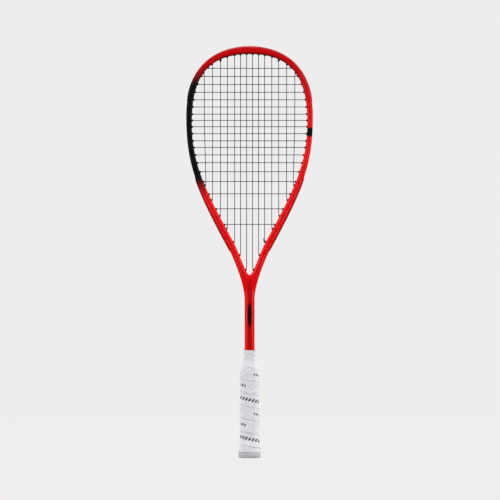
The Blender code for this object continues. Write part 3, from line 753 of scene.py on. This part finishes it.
def face_depth(points):
    """The depth of the front face: a flat band between two slopes, rounded at its edges."""
    height = points[:, 1]
    from_outer, _ = OUTER_WITH_SHAFT.nearest(points)
    from_window, _ = WINDOW.nearest(points)
    rim = (from_window - from_outer) / (from_window + from_outer)
    shaft = np.abs(points[:, 0]) / SHAFT_HALF_WIDTH
    in_shaft = ease(0, FACET_BLEND, WINDOW_BOTTOM - height)
    aside = np.sqrt(((1 - in_shaft) * rim) ** 2 + (in_shaft * shaft) ** 2)
    tilt = np.sqrt(np.maximum(aside - FACET_FLAT, 0) ** 2 + FACET_SOFTNESS**2) - FACET_SOFTNESS
    share = ARM_FACET_SHARE + (1 - ARM_FACET_SHARE) * in_shaft
    share = share - (ARM_FACET_SHARE - HEAD_FACET_SHARE) * ease(*HEAD_FACET, height)
    share = share * (COLLAR_FACET_SHARE + (1 - COLLAR_FACET_SHARE) * ease(*COLLAR_FACET, height))
    on_arm = ease(CREASE_LOW, CREASE_LOW + FACET_BLEND, height)
    on_arm = on_arm * ease(CREASE_HIGH, CREASE_HIGH - FACET_BLEND, height)
    crease = on_arm * np.maximum(1 - np.abs(rim - CREASE_PLACE) / CREASE_REACH, 0)
    rounded = BEAM_HALF - round_drop(from_outer) - round_drop(from_window)
    return rounded - FACET_DROP * tilt * share - CREASE_DEPTH * crease


def build_frame(look):
    """The frame: its two faces, the grooved outer wall and the window's wall."""
    inner, outer, normals, groove, window_rows = frame_rows()
    width = np.linalg.norm(outer - inner, axis=1, keepdims=True)
    edge = ROUND_PLACES / width
    middle = np.linspace(0, 1, MIDDLE_COLUMNS + 2)[1:-1]
    inside = edge[:, -1:] + (1 - 2 * edge[:, -1:]) * middle
    shares = np.concatenate([edge, inside, 1 - edge[:, ::-1]], axis=1)
    flat = inner[:, None] + shares[..., None] * (outer - inner)[:, None]
    depth = face_depth(flat.reshape(-1, 2)).reshape(shares.shape)
    half = np.array(GROOVE_SECTION)
    section = np.concatenate([[(0, 0)], half, half[-2::-1] * (1, -1), [(0, 0)]]) * MM
    wall_levels, wall_depths = section.T
    levels = groove[:, None] * wall_levels
    wall = outer[:, None] + levels[..., None] * normals[:, None]
    wall_depth = np.tile(wall_depths, (len(outer), 1))
    wall_depth[:, 0], wall_depth[:, -1] = depth[:, -1], -depth[:, -1]
    window_wall = np.repeat(inner[:window_rows, None], WALL_COLUMNS, axis=1)
    window_depth = depth[:window_rows, :1] * np.linspace(1, -1, WALL_COLUMNS)
    sheets = ((flat, depth), (flat, -depth), (wall, wall_depth), (window_wall, window_depth))
    shape = Shape()
    for mirror in (1, -1):
        for places, depths in sheets:
            shape.grid(np.concatenate([places * (mirror, 1), depths[..., None]], -1))
    piece = shape.build("frame_shell", look, weld=2e-6, crease=50)
    place(piece, ["frame"], "frame_lacquer")


# Grommet strips and the bumper guard: sections carried along the frame's outer face.


def carried(sections, stations):
    """Rings of a section, given as (level, depth), at stations; a negative station is on the left."""
    side = np.where(stations < 0, -1.0, 1.0)
    base, normal = OUTER.at(np.abs(stations)), OUTER.normal(np.abs(stations))
    flat = base[:, None] + sections[..., :1] * normal[:, None]
    flat[..., 0] *= side[:, None]
    return np.concatenate([flat, sections[..., 1:]], -1)


def closed_section(half):
    """A whole section from its half, which runs from the middle of its top to the middle of its foot."""
    half = np.asarray(half, float)
    return np.concatenate([half, half[-2:0:-1] * (1, -1)])


# A barrel's end, as (rise from the wall, radius) in millimetres: its collar, its rounded mouth, its bore.
NUB_SIDES = 14
NUB_COLLAR = ((-1.5, 1.6), (-0.3, 2.1), (0.3, 2.1), (0.6, 1.9))
NUB_MOUTH = ((1.4, 1.8), (1.8, 1.6), (2.0, 1.3), (1.95, 1.0))
NUB_BORE = ((1.3, 0.85), (-1.5, 0.85))


def add_nubs(shape, ends):
    """The ends of the grommet barrels, which stand out of the window's face."""
    angles = np.linspace(0, 2 * math.pi, NUB_SIDES, endpoint=False)
    circle = np.stack([np.cos(angles), np.sin(angles)], -1)
    for end in ends:
        across = np.array([-end.axis[1], end.axis[0]])
        rings = []
        for rise, radius in np.array(NUB_COLLAR + NUB_MOUTH + NUB_BORE) * MM:
            middle = end.wall - rise * end.axis
            flat = middle + radius * circle[:, :1] * across
            rings.append(np.concatenate([flat, radius * circle[:, 1:]], -1))
        shape.grid(np.array(rings), around=True)


# Half a strip's section, as (level, depth) in millimetres: the channel, the lip beside it, the foot.
STRIP_CHANNEL = ((-1.6, 0), (-1.6, 2.1), (-1.45, 2.4), (-0.9, 2.5))
STRIP_LIP = ((-0.35, 2.6), (-0.15, 2.9), (-0.35, 3.2))
STRIP_FOOT = ((-1.5, 3.2), (-3.3, 3.2), (-3.5, 3.0), (-3.5, 0))
HEAD_STRIP_SECTION = ((-2.7, 0), (-2.7, 3.0), (-2.8, 3.2), (-3.4, 3.2), (-3.5, 3.1), (-3.5, 0))
HEAD_STRIP_ROWS = 200
STRIP_STEP = 2 * MM

# Between two heights on the arms, the lip rises above the frame's outer face.
LIP_RISE = 1.4 * MM
LIP_TOP = 460 * MM
LIP_BOTTOM = 350 * MM
LIP_EASE = 12 * MM


def build_strip(name, side, low, high, ends, look, lipped):
    """A channelled strip in the groove between two stations, with its barrels."""
    stations = np.append(np.arange(low, high, STRIP_STEP), high)
    half = np.array(STRIP_CHANNEL + STRIP_LIP + STRIP_FOOT) * MM
    sections = np.repeat(half[None], len(stations), axis=0)
    if lipped:
        heights = OUTER.at(stations)[:, 1]
        lift = ease(LIP_BOTTOM - LIP_EASE, LIP_BOTTOM, heights) * ease(LIP_TOP + LIP_EASE, LIP_TOP, heights)
        lip = slice(len(STRIP_CHANNEL), len(STRIP_CHANNEL + STRIP_LIP))
        sections[:, lip, 0] += LIP_RISE * lift[:, None]
    rings = np.array([closed_section(section) for section in sections])
    shape = Shape()
    shape.grid(carried(rings, side * stations), around=True, caps=True)
    add_nubs(shape, ends)
    piece = shape.build(f"{name}_moulding", look)
    place(piece, [name], "grommet_nylon")


def build_head_strip(ends, look):
    """The flat strip under the guard, from side to side over the head."""
    low = OUTER.station_at(GUARD_LOW.z)
    stations = np.linspace(-low, low, HEAD_STRIP_ROWS)
    section = closed_section(HEAD_STRIP_SECTION) * MM
    shape = Shape()
    shape.grid(carried(np.repeat(section[None], HEAD_STRIP_ROWS, axis=0), stations), around=True, caps=True)
    add_nubs(shape, ends)
    piece = shape.build("head_grommet_strip_moulding", look)
    place(piece, ["head_grommet_strip"], "grommet_nylon")


def build_grommets(look):
    """The strip at the head, one down each side and two short grommets on each side of the throat."""
    guard_end, strip_end = OUTER.station_at(GUARD_LOW.z), OUTER.station_at(STRIP_LOW.z)
    build_head_strip([end for end in ENDS if end.exit[1] > GUARD_LOW.z], look)
    for side, word in ((-1, "left"), (1, "right")):
        mine = [end for end in ENDS if end.exit[0] * side > 0 and end.exit[1] < GUARD_LOW.z]
        upper = [end for end in mine if end.exit[1] > STRIP_LOW.z]
        build_strip(f"grommet_strip_{word}", side, guard_end + GAP, strip_end, upper, look, True)
        throat = sorted((end for end in mine if end.exit[1] <= STRIP_LOW.z), key=lambda end: end.exit[1])
        for end, level in zip(throat, ("lower", "upper")):
            low, high = (OUTER.station_at(end.exit[1] + way * GROMMET_HALF_LENGTH) for way in (1, -1))
            build_strip(f"throat_grommet_{word}_{level}", side, low, high, [end], look, False)


GUARD_TAPER = 34 * MM
GUARD_ROWS = 260

# Half the guard's section, as (level, depth) in millimetres. Its flange widens and its crown rises with
# the share, and its lap turns round the frame's rounded edge.
GUARD_CHANNEL = ((-1.6, 0), (-1.6, 2.2), (-1.4, 2.45), (-0.5, 2.5), (0.8, 2.5), (1.1, 2.62), (1.2, 3.0))
GUARD_INSIDE = ((0.14, 3.4), (-2.4, 3.25), (-2.4, 0))
FLANGE, FLANGE_GROWTH = 4.6, 2.4
CROWN, CROWN_GROWTH = 0.75, 0.45
LAP_TURN = np.radians(41)
LAP_POINTS = 6
LAP_START = 0.2
LAP_EDGE = 0.55
LAP_SEAT = 0.14
LAP_TIP, LAP_TIP_TURN = 0.3, 0.03
SHOULDER = EDGE_RADIUS / MM


def guard_section(share):
    """The guard's section: a channel, a flat flange and a lap round the rim's shoulder at share 1."""
    flange = FLANGE + share * FLANGE_GROWTH
    crown = CROWN + CROWN_GROWTH * min(1, share * 3)

    def on_lap(turn, thickness):
        reach = SHOULDER + thickness
        return (-SHOULDER + reach * math.cos(turn), flange + reach * math.sin(turn))

    turns = LAP_TURN * share * np.linspace(LAP_START, 1, LAP_POINTS)
    outside = [(min(level, crown), depth) for level, depth in GUARD_CHANNEL]
    outside += [(crown, 0.6 * flange + 1), (crown - 0.02, flange)]
    outside += map(on_lap, turns, np.linspace(crown, LAP_EDGE, LAP_POINTS))
    tip = on_lap(turns[-1] + LAP_TIP_TURN, LAP_TIP)
    inside = [on_lap(turn, LAP_SEAT) for turn in turns[::-1]]
    return np.array([*outside, tip, *inside, *GUARD_INSIDE]) * MM


def build_guard(look):
    """The guard over the head: its flange and lap taper away towards both ends."""
    end = OUTER.station_at(GUARD_LOW.z)
    stations = np.linspace(-end, end, GUARD_ROWS)
    shares = ease(0, GUARD_TAPER, end - np.abs(stations))
    rings = np.array([closed_section(guard_section(share)) for share in shares])
    shape = Shape()
    shape.grid(carried(rings, stations), around=True, caps=True)
    piece = shape.build("bumper_guard_moulding", look, crease=35)
    place(piece, ["bumper_guard"], "bumper_nylon")


# Strings.

BED_STEP = 2 * MM
RUN_STEP = 1 * MM
SMOOTHING_ROUNDS = 3
TUBE_SIDES = 8


def between_points(start, finish, step):
    """Points from start up to finish, without finish."""
    count = max(1, round(float(np.linalg.norm(finish - start)) / step))
    return [start + (finish - start) * k / count for k in range(count)]


def at_depth(point, depth=0.0):
    return np.array([point[0], point[1], depth])


def woven_pass(first, crossings, last):
    """From exit to exit: through the holes and over and under in the bed."""
    route = between_points(at_depth(first.exit), at_depth(first.mouth), RUN_STEP)
    stops = [at_depth(first.mouth), *crossings, at_depth(last.mouth)]
    for start, finish in zip(stops, stops[1:]):
        for point in between_points(start, finish, BED_STEP):
            share = float(np.linalg.norm(point - start) / np.linalg.norm(finish - start))
            swing = (1 - math.cos(math.pi * share)) / 2
            route.append(np.array([point[0], point[1], start[2] + (finish[2] - start[2]) * swing]))
    return route + between_points(at_depth(last.mouth), at_depth(last.exit), RUN_STEP)


def groove_run(start, finish, depth):
    """Along the groove between two stations, on one side of its middle."""
    count = max(4, round(abs(finish - start) / RUN_STEP))
    stations = np.linspace(start, finish, count + 1)[1:-1]
    lead = np.minimum(np.abs(stations - start), np.abs(finish - stations))
    aside = depth * ease(0, RUN_LEAD, lead)
    return [at_depth(point, off) for point, off in zip(STRING_LINE.at(stations), aside)]


def string_tail(station, way, depth):
    """The string's last stretch, which lies in the groove past its own hole."""
    reach = np.arange(1, round(TAIL_LENGTH / RUN_STEP) + 1) * RUN_STEP
    points = STRING_LINE.at(station + way * reach)
    return [at_depth(point, off) for point, off in zip(points, depth * ease(0, RUN_LEAD, reach))]


def crossing(k, m, side):
    """Where a string passes over or under another: main k and cross m."""
    over = side if (k + m) % 2 else -side
    return np.array([main_across(k, CROSSES[m]), CROSSES[m], over * WEAVE])


def woven(k, m):
    """Whether main k crosses cross m."""
    inside = abs(main_across(k, CROSSES[m])) < CROSS_RIGHT[m].mouth[0] - MOUTH_MARGIN
    low, high = MAIN_LOW[k].mouth[1] + MOUTH_MARGIN, MAIN_HIGH[k].mouth[1] - MOUTH_MARGIN
    return inside and low < CROSSES[m] < high


def string_route(passes, depth, start_way, finish_way):
    """The whole string, from passes that are each (first end, crossings, last end)."""
    route = string_tail(passes[0][0].station, start_way, depth)[::-1]
    for k, one in enumerate(passes):
        if k:
            route += [at_depth(passes[k - 1][2].exit)]
            route += groove_run(passes[k - 1][2].station, one[0].station, depth)
        route += woven_pass(*one)
    return route + [at_depth(passes[-1][2].exit)] + string_tail(passes[-1][2].station, finish_way, depth)


def softened(route):
    """The route with its corners rounded."""
    route = np.array(route)
    for _ in range(SMOOTHING_ROUNDS):
        route[1:-1] = 0.25 * route[:-2] + 0.5 * route[1:-1] + 0.25 * route[2:]
    return route


def tube(route):
    """A string along a route, with the length run and the turn round it as its map."""
    along = unit(np.gradient(route, axis=0))
    side = np.empty_like(route)
    side[0] = unit(np.cross(along[0], (0.3, 0.2, 1)))
    for k in range(1, len(route)):
        side[k] = side[k - 1] - np.dot(side[k - 1], along[k]) * along[k]
        side[k] /= np.linalg.norm(side[k])
    other = np.cross(along, side)
    turn = np.linspace(0, 2 * math.pi, TUBE_SIDES, endpoint=False)
    reach = np.cos(turn)[:, None] * side[:, None] + np.sin(turn)[:, None] * other[:, None]
    length = np.concatenate(([0], np.cumsum(np.linalg.norm(np.diff(route, axis=0), axis=1))))
    uvs = np.stack(np.broadcast_arrays(length[:, None], (np.abs(turn - math.pi) / math.pi)[None]), -1)
    shape = Shape()
    shape.grid(route[:, None] + STRING_RADIUS * reach, around=True, caps=True, uvs=uvs)
    return shape


def to_and_fro(passes):
    """The passes, with every second one run the other way."""
    return [one if k % 2 == 0 else (one[2], one[1][::-1], one[0]) for k, one in enumerate(passes)]


def build_strings(look):
    """The mains from left to right, then the crosses from the head down, each one string laid to and fro."""
    mains, crosses = range(len(MAINS)), range(len(CROSSES))
    over = {k: [crossing(k, m, 1) for m in crosses[::-1] if woven(k, m)] for k in mains}
    under = {m: [crossing(k, m, -1) for k in mains if woven(k, m)] for m in crosses}
    up = to_and_fro([(MAIN_LOW[k], over[k], MAIN_HIGH[k]) for k in mains])
    right = to_and_fro([(CROSS_LEFT[m], under[m], CROSS_RIGHT[m]) for m in crosses])
    lay_string("main_string", string_route(up, RUN_OFFSET, 1, -1), look)
    lay_string("cross_string", string_route(right, -RUN_OFFSET, 1, 1), look)


def lay_string(node, route, look):
    piece = tube(softened(route)).build(f"{node}_laid", look, crease=80)
    place(piece, [node], "string_multifilament")


# Knots: a tie-off coil round a string just inside its grommet, and on one of them a short cut end.

KNOT_TURNS = 2.6
KNOT_STEPS = 16
KNOT_RADIUS = 1.3 * MM
KNOT_LENGTH = 2.5 * MM
KNOT_SEAT = 1.2 * MM
KNOT_TAIL = 4.5 * MM
KNOT_TAIL_WAY = (-0.28, 0.93, 0.22)
KNOTS = (("top_left", 2, 1, 0), ("top_right", 11, 1, 0), ("throat", 9, -1, 1))


def build_knots(look):
    for word, k, way, has_tail in KNOTS:
        end = (MAIN_HIGH if way > 0 else MAIN_LOW)[k]
        across, seat = MAINS[k], end.mouth[1] + way * KNOT_SEAT
        turn = np.linspace(0, 2 * math.pi * KNOT_TURNS, round(KNOT_TURNS * KNOT_STEPS))
        height = seat - way * KNOT_LENGTH * turn / turn[-1]
        coil = np.stack([across + KNOT_RADIUS * np.cos(turn), height, KNOT_RADIUS * np.sin(turn)], -1)
        if has_tail:
            out = coil[-1] - np.array([across, coil[-1][1], 0])
            reach = np.linspace(0.2, 1, 5)[:, None] * KNOT_TAIL
            coil = np.concatenate([coil, coil[-1] + reach * unit(np.array(KNOT_TAIL_WAY)) + 0.15 * out])
        piece = tube(coil).build(f"string_knot_{word}", look, crease=80)
        place(piece, ["main_string"], "string_multifilament")


# Handle. A section has half its width, half its depth and the two legs of its cut corners.


def moved_in(shape, inset):
    """The section that lies inset inside another all the way round."""
    half_width, half_depth, cut_width, cut_depth = shape
    slant = math.hypot(cut_width, cut_depth)
    return np.array(
        [
            half_width - inset,
            half_depth - inset,
            cut_width - inset * (1 + (cut_width - slant) / cut_depth),
            cut_depth - inset * (1 + (cut_depth - slant) / cut_width),
        ]
    )


SHAFT_CORNER = (2 - math.sqrt(2)) * EDGE_RADIUS
SHAFT = np.array([SHAFT_HALF_WIDTH, BEAM_HALF, SHAFT_CORNER, SHAFT_CORNER])
COLLAR = moved_in(SHAFT, -GAP - WRAP_THICKNESS)
BODY = np.array([HANDLE_HALF_WIDTH, HANDLE_HALF_DEPTH, CUT_WIDTH, CUT_DEPTH])
FOOT = BODY + (FLARE, FLARE, 0, 0)
FLARE_TOP = CAP_BAND + 0.45 * (CAP_HEIGHT - CAP_BAND)
FLARE_END = CAP_HEIGHT + 0.5 * (CAP_HEIGHT - CAP_BAND)
FLARE_EASE = 3 * MM
TAPER_END = WRAP_HIGH.z - COLLAR_LENGTH
TAPER_START = TAPER_END - TAPER_LENGTH
TAPER_EASE = 2 * MM

# How much of each side the rounding at either end takes up: a cut corner, a face, a cut corner, an edge.
CORNER_SHARES = (0.3, 0.16, 0.3, 0.2)
CORNER_STEPS = np.linspace(0, 1, 5)
STRAIGHT_STEPS = (0.25, 0.5, 0.75)


def handle_shape(height):
    """The handle's section at a height."""
    if height < TAPER_START:
        share = float(ease(FLARE_TOP - FLARE_EASE, FLARE_END + FLARE_EASE, height))
        return FOOT + share * (BODY - FOOT)
    share = float(ease(TAPER_START - TAPER_EASE, TAPER_END + TAPER_EASE, height))
    return BODY + share * (COLLAR - BODY)


def corners_of(shape):
    """The section's eight corners, from the right side round by the front."""
    half_width, half_depth, cut_width, cut_depth = shape
    quarter = [(half_width, half_depth - cut_depth), (half_width - cut_width, half_depth)]
    top = quarter + [(-x, depth) for x, depth in quarter[::-1]]
    return np.array(top + [(-x, -depth) for x, depth in top])


def toward(corner, other, share):
    """The weights of a place at a share of the way from one corner to another."""
    row = np.zeros(8)
    row[corner % 8] += 1 - share
    row[other % 8] += share
    return row


def ring_weights():
    """How much of each corner goes into each point of a rounded ring that starts mid-front."""
    rows = []
    for corner in range(2, 10):
        before, after = CORNER_SHARES[(corner - 1) % 4], CORNER_SHARES[corner % 4]
        peak = toward(corner, corner, 0)
        start, finish = toward(corner, corner - 1, before), toward(corner, corner + 1, after)
        for t in CORNER_STEPS:
            rows.append((1 - t) ** 2 * start + 2 * t * (1 - t) * peak + t * t * finish)
        following = toward(corner + 1, corner, after)
        rows += [finish + share * (following - finish) for share in STRAIGHT_STEPS]
    return np.roll(np.array(rows), 2, axis=0)


RING = ring_weights()
BODY_RING = RING @ corners_of(BODY)
RING_STEPS = np.linalg.norm(np.roll(BODY_RING, -1, axis=0) - BODY_RING, axis=1)
RING_STATIONS = np.concatenate(([0], np.cumsum(RING_STEPS)))[:-1]
TAPE_TURN = float(RING_STEPS.sum())


def ring_normals(ring):
    """The directions that lead straight out of a ring, at each of its points."""
    along = np.roll(ring, -1, axis=-2) - np.roll(ring, 1, axis=-2)
    return unit(np.stack([along[..., 1], -along[..., 0]], -1))


def handle_ring(shape, height, level=0.0):
    """The ring of a section at a height, moved out by a level."""
    ring = RING @ corners_of(shape)
    ring = ring + level * ring_normals(ring)
    return np.stack([ring[:, 0], np.full(len(ring), height), ring[:, 1]], -1)


# The tape's section, as (height, level) in millimetres: its lapping edge, its flat and its covered edge.
TAPE_EDGE = ((0.0, -0.9), (0.0, -0.4), (0.35, -0.12), (1.0, 0.0), (2.4, 0.0))
TAPE_FLAT = ((4.0, -0.1), (5.8, -0.25), (7.5, -0.38), (11.0, -0.42), (15.0, -0.42), (19.0, -0.42))
TAPE_COVERED = ((21.8, -0.5), (24.2, -0.75))
TAPE_TURNS = (-4, 6)
BODY_NORMALS = ring_normals(BODY_RING)


def build_wrap(look):
    """One long tape wound up the handle, each turn lapping the one below."""
    profile = np.array(TAPE_EDGE + TAPE_FLAT + TAPE_COVERED) * MM
    first, last = (turns * len(RING) for turns in TAPE_TURNS)
    shape = Shape()
    rows, uvs = [], []
    for step in range(first, last + 1):
        turn, k = divmod(step, len(RING))
        station = turn * TAPE_TURN + RING_STATIONS[k]
        heights = TAPE_SEAM + TAPE_PITCH * station / TAPE_TURN + profile[:, 0]
        row = []
        for height, level in zip(heights, profile[:, 1]):
            low = max(height, WRAP_LOW.z)
            section = RING[k] @ corners_of(handle_shape(low))
            edge = min(low, WRAP_HIGH.z + TOP_SLANT * section[0])
            out = BODY_NORMALS[k]
            row.append((section[0] + level * out[0], edge, section[1] + level * out[1]))
        rows.append(row)
        uvs.append([(station + TAPE_TURN / 2, across) for across in profile[:, 0]])
    shape.grid(np.array(rows), uvs=np.array(uvs))
    piece = shape.build("grip_tape", look, crease=50)
    place(piece, ["grip_wrap"], "grip_leatherette")


LINING_ROWS = 60
LINING_DEPTH = 0.8 * MM
LINING_DROP = 0.3 * MM


def build_wrap_core(look):
    """The tape's inner layer: it closes the sleeve at its foot, inside and at the collar's top."""
    heights = np.linspace(WRAP_LOW.z, WRAP_HIGH.z, LINING_ROWS)
    outer = [handle_ring(handle_shape(height), height, -LINING_DEPTH) for height in heights]
    inner = [handle_ring(moved_in(handle_shape(height), WRAP_THICKNESS), height) for height in heights[::-1]]
    for ring in (outer[-1], inner[0]):
        ring[:, 1] += TOP_SLANT * ring[:, 0] - LINING_DROP
    shape = Shape()
    shape.grid(np.array([*outer, *inner, outer[0]]), around=True)
    piece = shape.build("grip_tape_lining", look, weld=1e-6, crease=50)
    place(piece, ["grip_wrap"], "grip_leatherette")


# The butt cap's end, as (inset, height): the dish and the flat round it. Then its rounded edge, and the
# band's upper edge, as (inset, drop below the band's top).
CAP_END = ((7.5 * MM, 0.5 * MM), (6.6 * MM, 0.5 * MM), (6.1 * MM, 0.02 * MM), (4.5 * MM, 0.0))
CAP_ROUNDING = 2.4 * MM
CAP_SHOULDER = ((0.0, 0.6 * MM), (0.15 * MM, 0.15 * MM), (0.5 * MM, 0.0))


def build_cap(look):
    """The moulded butt cap: a rounded band with a shallow dish in its end, and a skirt inside the wrap."""
    face, skirt, socket = moved_in(FOOT, GAP), moved_in(FOOT, WRAP_THICKNESS + GAP), moved_in(SHAFT, -GAP)
    rings = [handle_ring(moved_in(face, inset), height) for inset, height in CAP_END]
    for turn in np.radians(np.linspace(0, 90, 7)):
        inset = CAP_ROUNDING * (1 - math.sin(turn))
        rings.append(handle_ring(moved_in(face, inset), CAP_ROUNDING * (1 - math.cos(turn))))
    rings += [handle_ring(moved_in(face, inset), CAP_BAND - drop) for inset, drop in CAP_SHOULDER]
    rings += [
        handle_ring(skirt, CAP_BAND),
        handle_ring(skirt, FLARE_TOP),
        handle_ring(moved_in(handle_shape(CAP_HEIGHT), WRAP_THICKNESS + 2 * GAP), CAP_HEIGHT),
        handle_ring(socket, CAP_HEIGHT),
        handle_ring(socket, FRAME_LOW.z - GAP),
    ]
    shape = Shape()
    shape.grid(np.array(rings), around=True, caps=True)
    piece = shape.build("butt_cap_moulding", look, crease=35)
    place(piece, ["butt_cap"], "cap_rubber")


# Studio.

CAMERA_LENS = 150
CAMERA_DISTANCE = 3.48
CAMERA_AIM = (0.0007, 0.346)
LAMP_AIM = (0, 0, 0.4)
AIR_STRENGTH = 0.3

# The floor, as (radius, height): flat, then a curve up into a wall.
BOWL = ((0.0, 0.0), (3.2, 0.0), (4.2, 0.05), (5.0, 0.35), (5.6, 1.0), (5.9, 2.0), (6.0, 3.6))
FLOOR_DROP = 0.3
FLOOR_ROWS = 40
FLOOR_SIDES = 96
FLOOR_PAPER = (0.012, 0.012, 0.012)
FLOOR_COLOUR = (0.853, 0.838, 0.838)
FLOOR_GLOW = 0.995
HUB_RADIUS = 1e-4

# Each softbox has its place, size and power, and whether it shows in gloss.
SOFTBOXES = (
    ("right", (1.9, -2.1, 0.9), (1.2, 2.3), 22, True),
    ("left", (-1.9, -2.1, 0.9), (1.2, 2.3), 24, True),
    ("right_fill", (3.2, -0.9, 1.6), (1.4, 2.4), 116, False),
    ("left_fill", (-3.2, -0.9, 1.6), (1.4, 2.4), 94, False),
    ("front", (0.0, -3.9, 1.6), (2.0, 2.0), 6, False),
    ("top", (0.0, 0.0, 2.6), (1.5, 1.5), 16, True),
    ("back", (0.0, 3.9, 1.2), (2.0, 2.0), 45, False),
    ("back_left", (-2.3, 1.6, 1.2), (1.0, 2.2), 22, False),
    ("back_right", (2.3, 1.6, 1.2), (1.0, 2.2), 22, False),
)


def build_floor():
    """A pale floor that curves up into a round backdrop."""
    radii, heights = np.array(BOWL).T
    steps = np.linspace(0, len(BOWL) - 1, FLOOR_ROWS)
    turn = np.linspace(0, 2 * math.pi, FLOOR_SIDES, endpoint=False)
    radius = np.interp(steps, range(len(BOWL)), radii)[:, None] + HUB_RADIUS
    height = np.interp(steps, range(len(BOWL)), heights)[:, None] - FLOOR_DROP
    shape = Shape()
    shape.grid(np.stack([radius * np.cos(turn), height + 0 * turn, radius * np.sin(turn)], -1), around=True)
    look = Look("studio_paper", FLOOR_PAPER, 0.9, emission_strength=FLOOR_GLOW, specular_ior_level=0.0)
    look.set("Emission Color", (*FLOOR_COLOUR, 1))
    floor = shape.build("studio_floor", look.material)
    floor.visible_glossy = floor.visible_diffuse = False


def build_lights():
    """An even pale air, and soft lamps that all face the racket."""
    world = bpy.data.worlds.new("studio_air")
    bpy.context.scene.world = world
    world.use_nodes = True
    air = world.node_tree.nodes["Background"].inputs
    air["Color"].default_value = (1, 1, 1, 1)
    air["Strength"].default_value = AIR_STRENGTH
    world.cycles_visibility.glossy = False
    for name, spot, size, power, in_gloss in SOFTBOXES:
        lamp = bpy.data.lights.new(f"softbox_{name}", "AREA")
        lamp.shape = "RECTANGLE"
        lamp.size, lamp.size_y = size
        lamp.energy = power
        box = bpy.data.objects.new(f"softbox_{name}", lamp)
        box.location = spot
        box.rotation_euler = (Vector(LAMP_AIM) - box.location).to_track_quat("-Z", "Y").to_euler()
        box.visible_camera = False
        box.visible_glossy = in_gloss
        bpy.context.scene.collection.objects.link(box)


def build_camera():
    lens = bpy.data.cameras.new("camera")
    lens.lens = CAMERA_LENS
    lens.dof.use_dof = False
    camera = bpy.data.objects.new("camera", lens)
    camera.location = (CAMERA_AIM[0], -CAMERA_DISTANCE, CAMERA_AIM[1])
    camera.rotation_euler = (math.radians(90), 0, 0)
    bpy.context.scene.collection.objects.link(camera)
    bpy.context.scene.camera = camera


def dress_inner_nodes():
    """Finishes for the CAD nodes that stay as they are, inside the handle."""
    foam = moulded("pallet_foam", (0.42, 0.35, 0.2), (0.52, 0.44, 0.27), 0.85, 1400, 0.3 * MM)
    steel = moulded("staple_steel", (0.5, 0.5, 0.52), (0.62, 0.62, 0.63), 0.3, 3000, 0.03 * MM, metallic=1.0)
    plug = moulded("plug_foam", (0.03, 0.03, 0.032), (0.06, 0.06, 0.062), 0.88, 900, 0.4 * MM)
    looks = {
        "pallet_half_front": foam,
        "pallet_half_back": foam,
        "pallet_staple_left": steel,
        "pallet_staple_right": steel,
        "shaft_end_plug": plug,
    }
    for node, look in looks.items():
        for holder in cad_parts[node].material_slots:
            holder.material = look


bpy.context.scene.view_settings.view_transform = "Standard"
build_camera()
build_floor()
build_lights()
build_frame(lacquer())
build_guard(bumper_nylon())
build_grommets(grommet_nylon())
strings = string_multifilament()
build_strings(strings)
build_knots(strings)
tape = grip_leatherette()
build_wrap(tape)
build_wrap_core(tape)
build_cap(moulded("cap_rubber", (0.4, 0.4, 0.42), (0.47, 0.47, 0.49), 0.65, 2200, 0.06 * MM))
dress_inner_nodes()
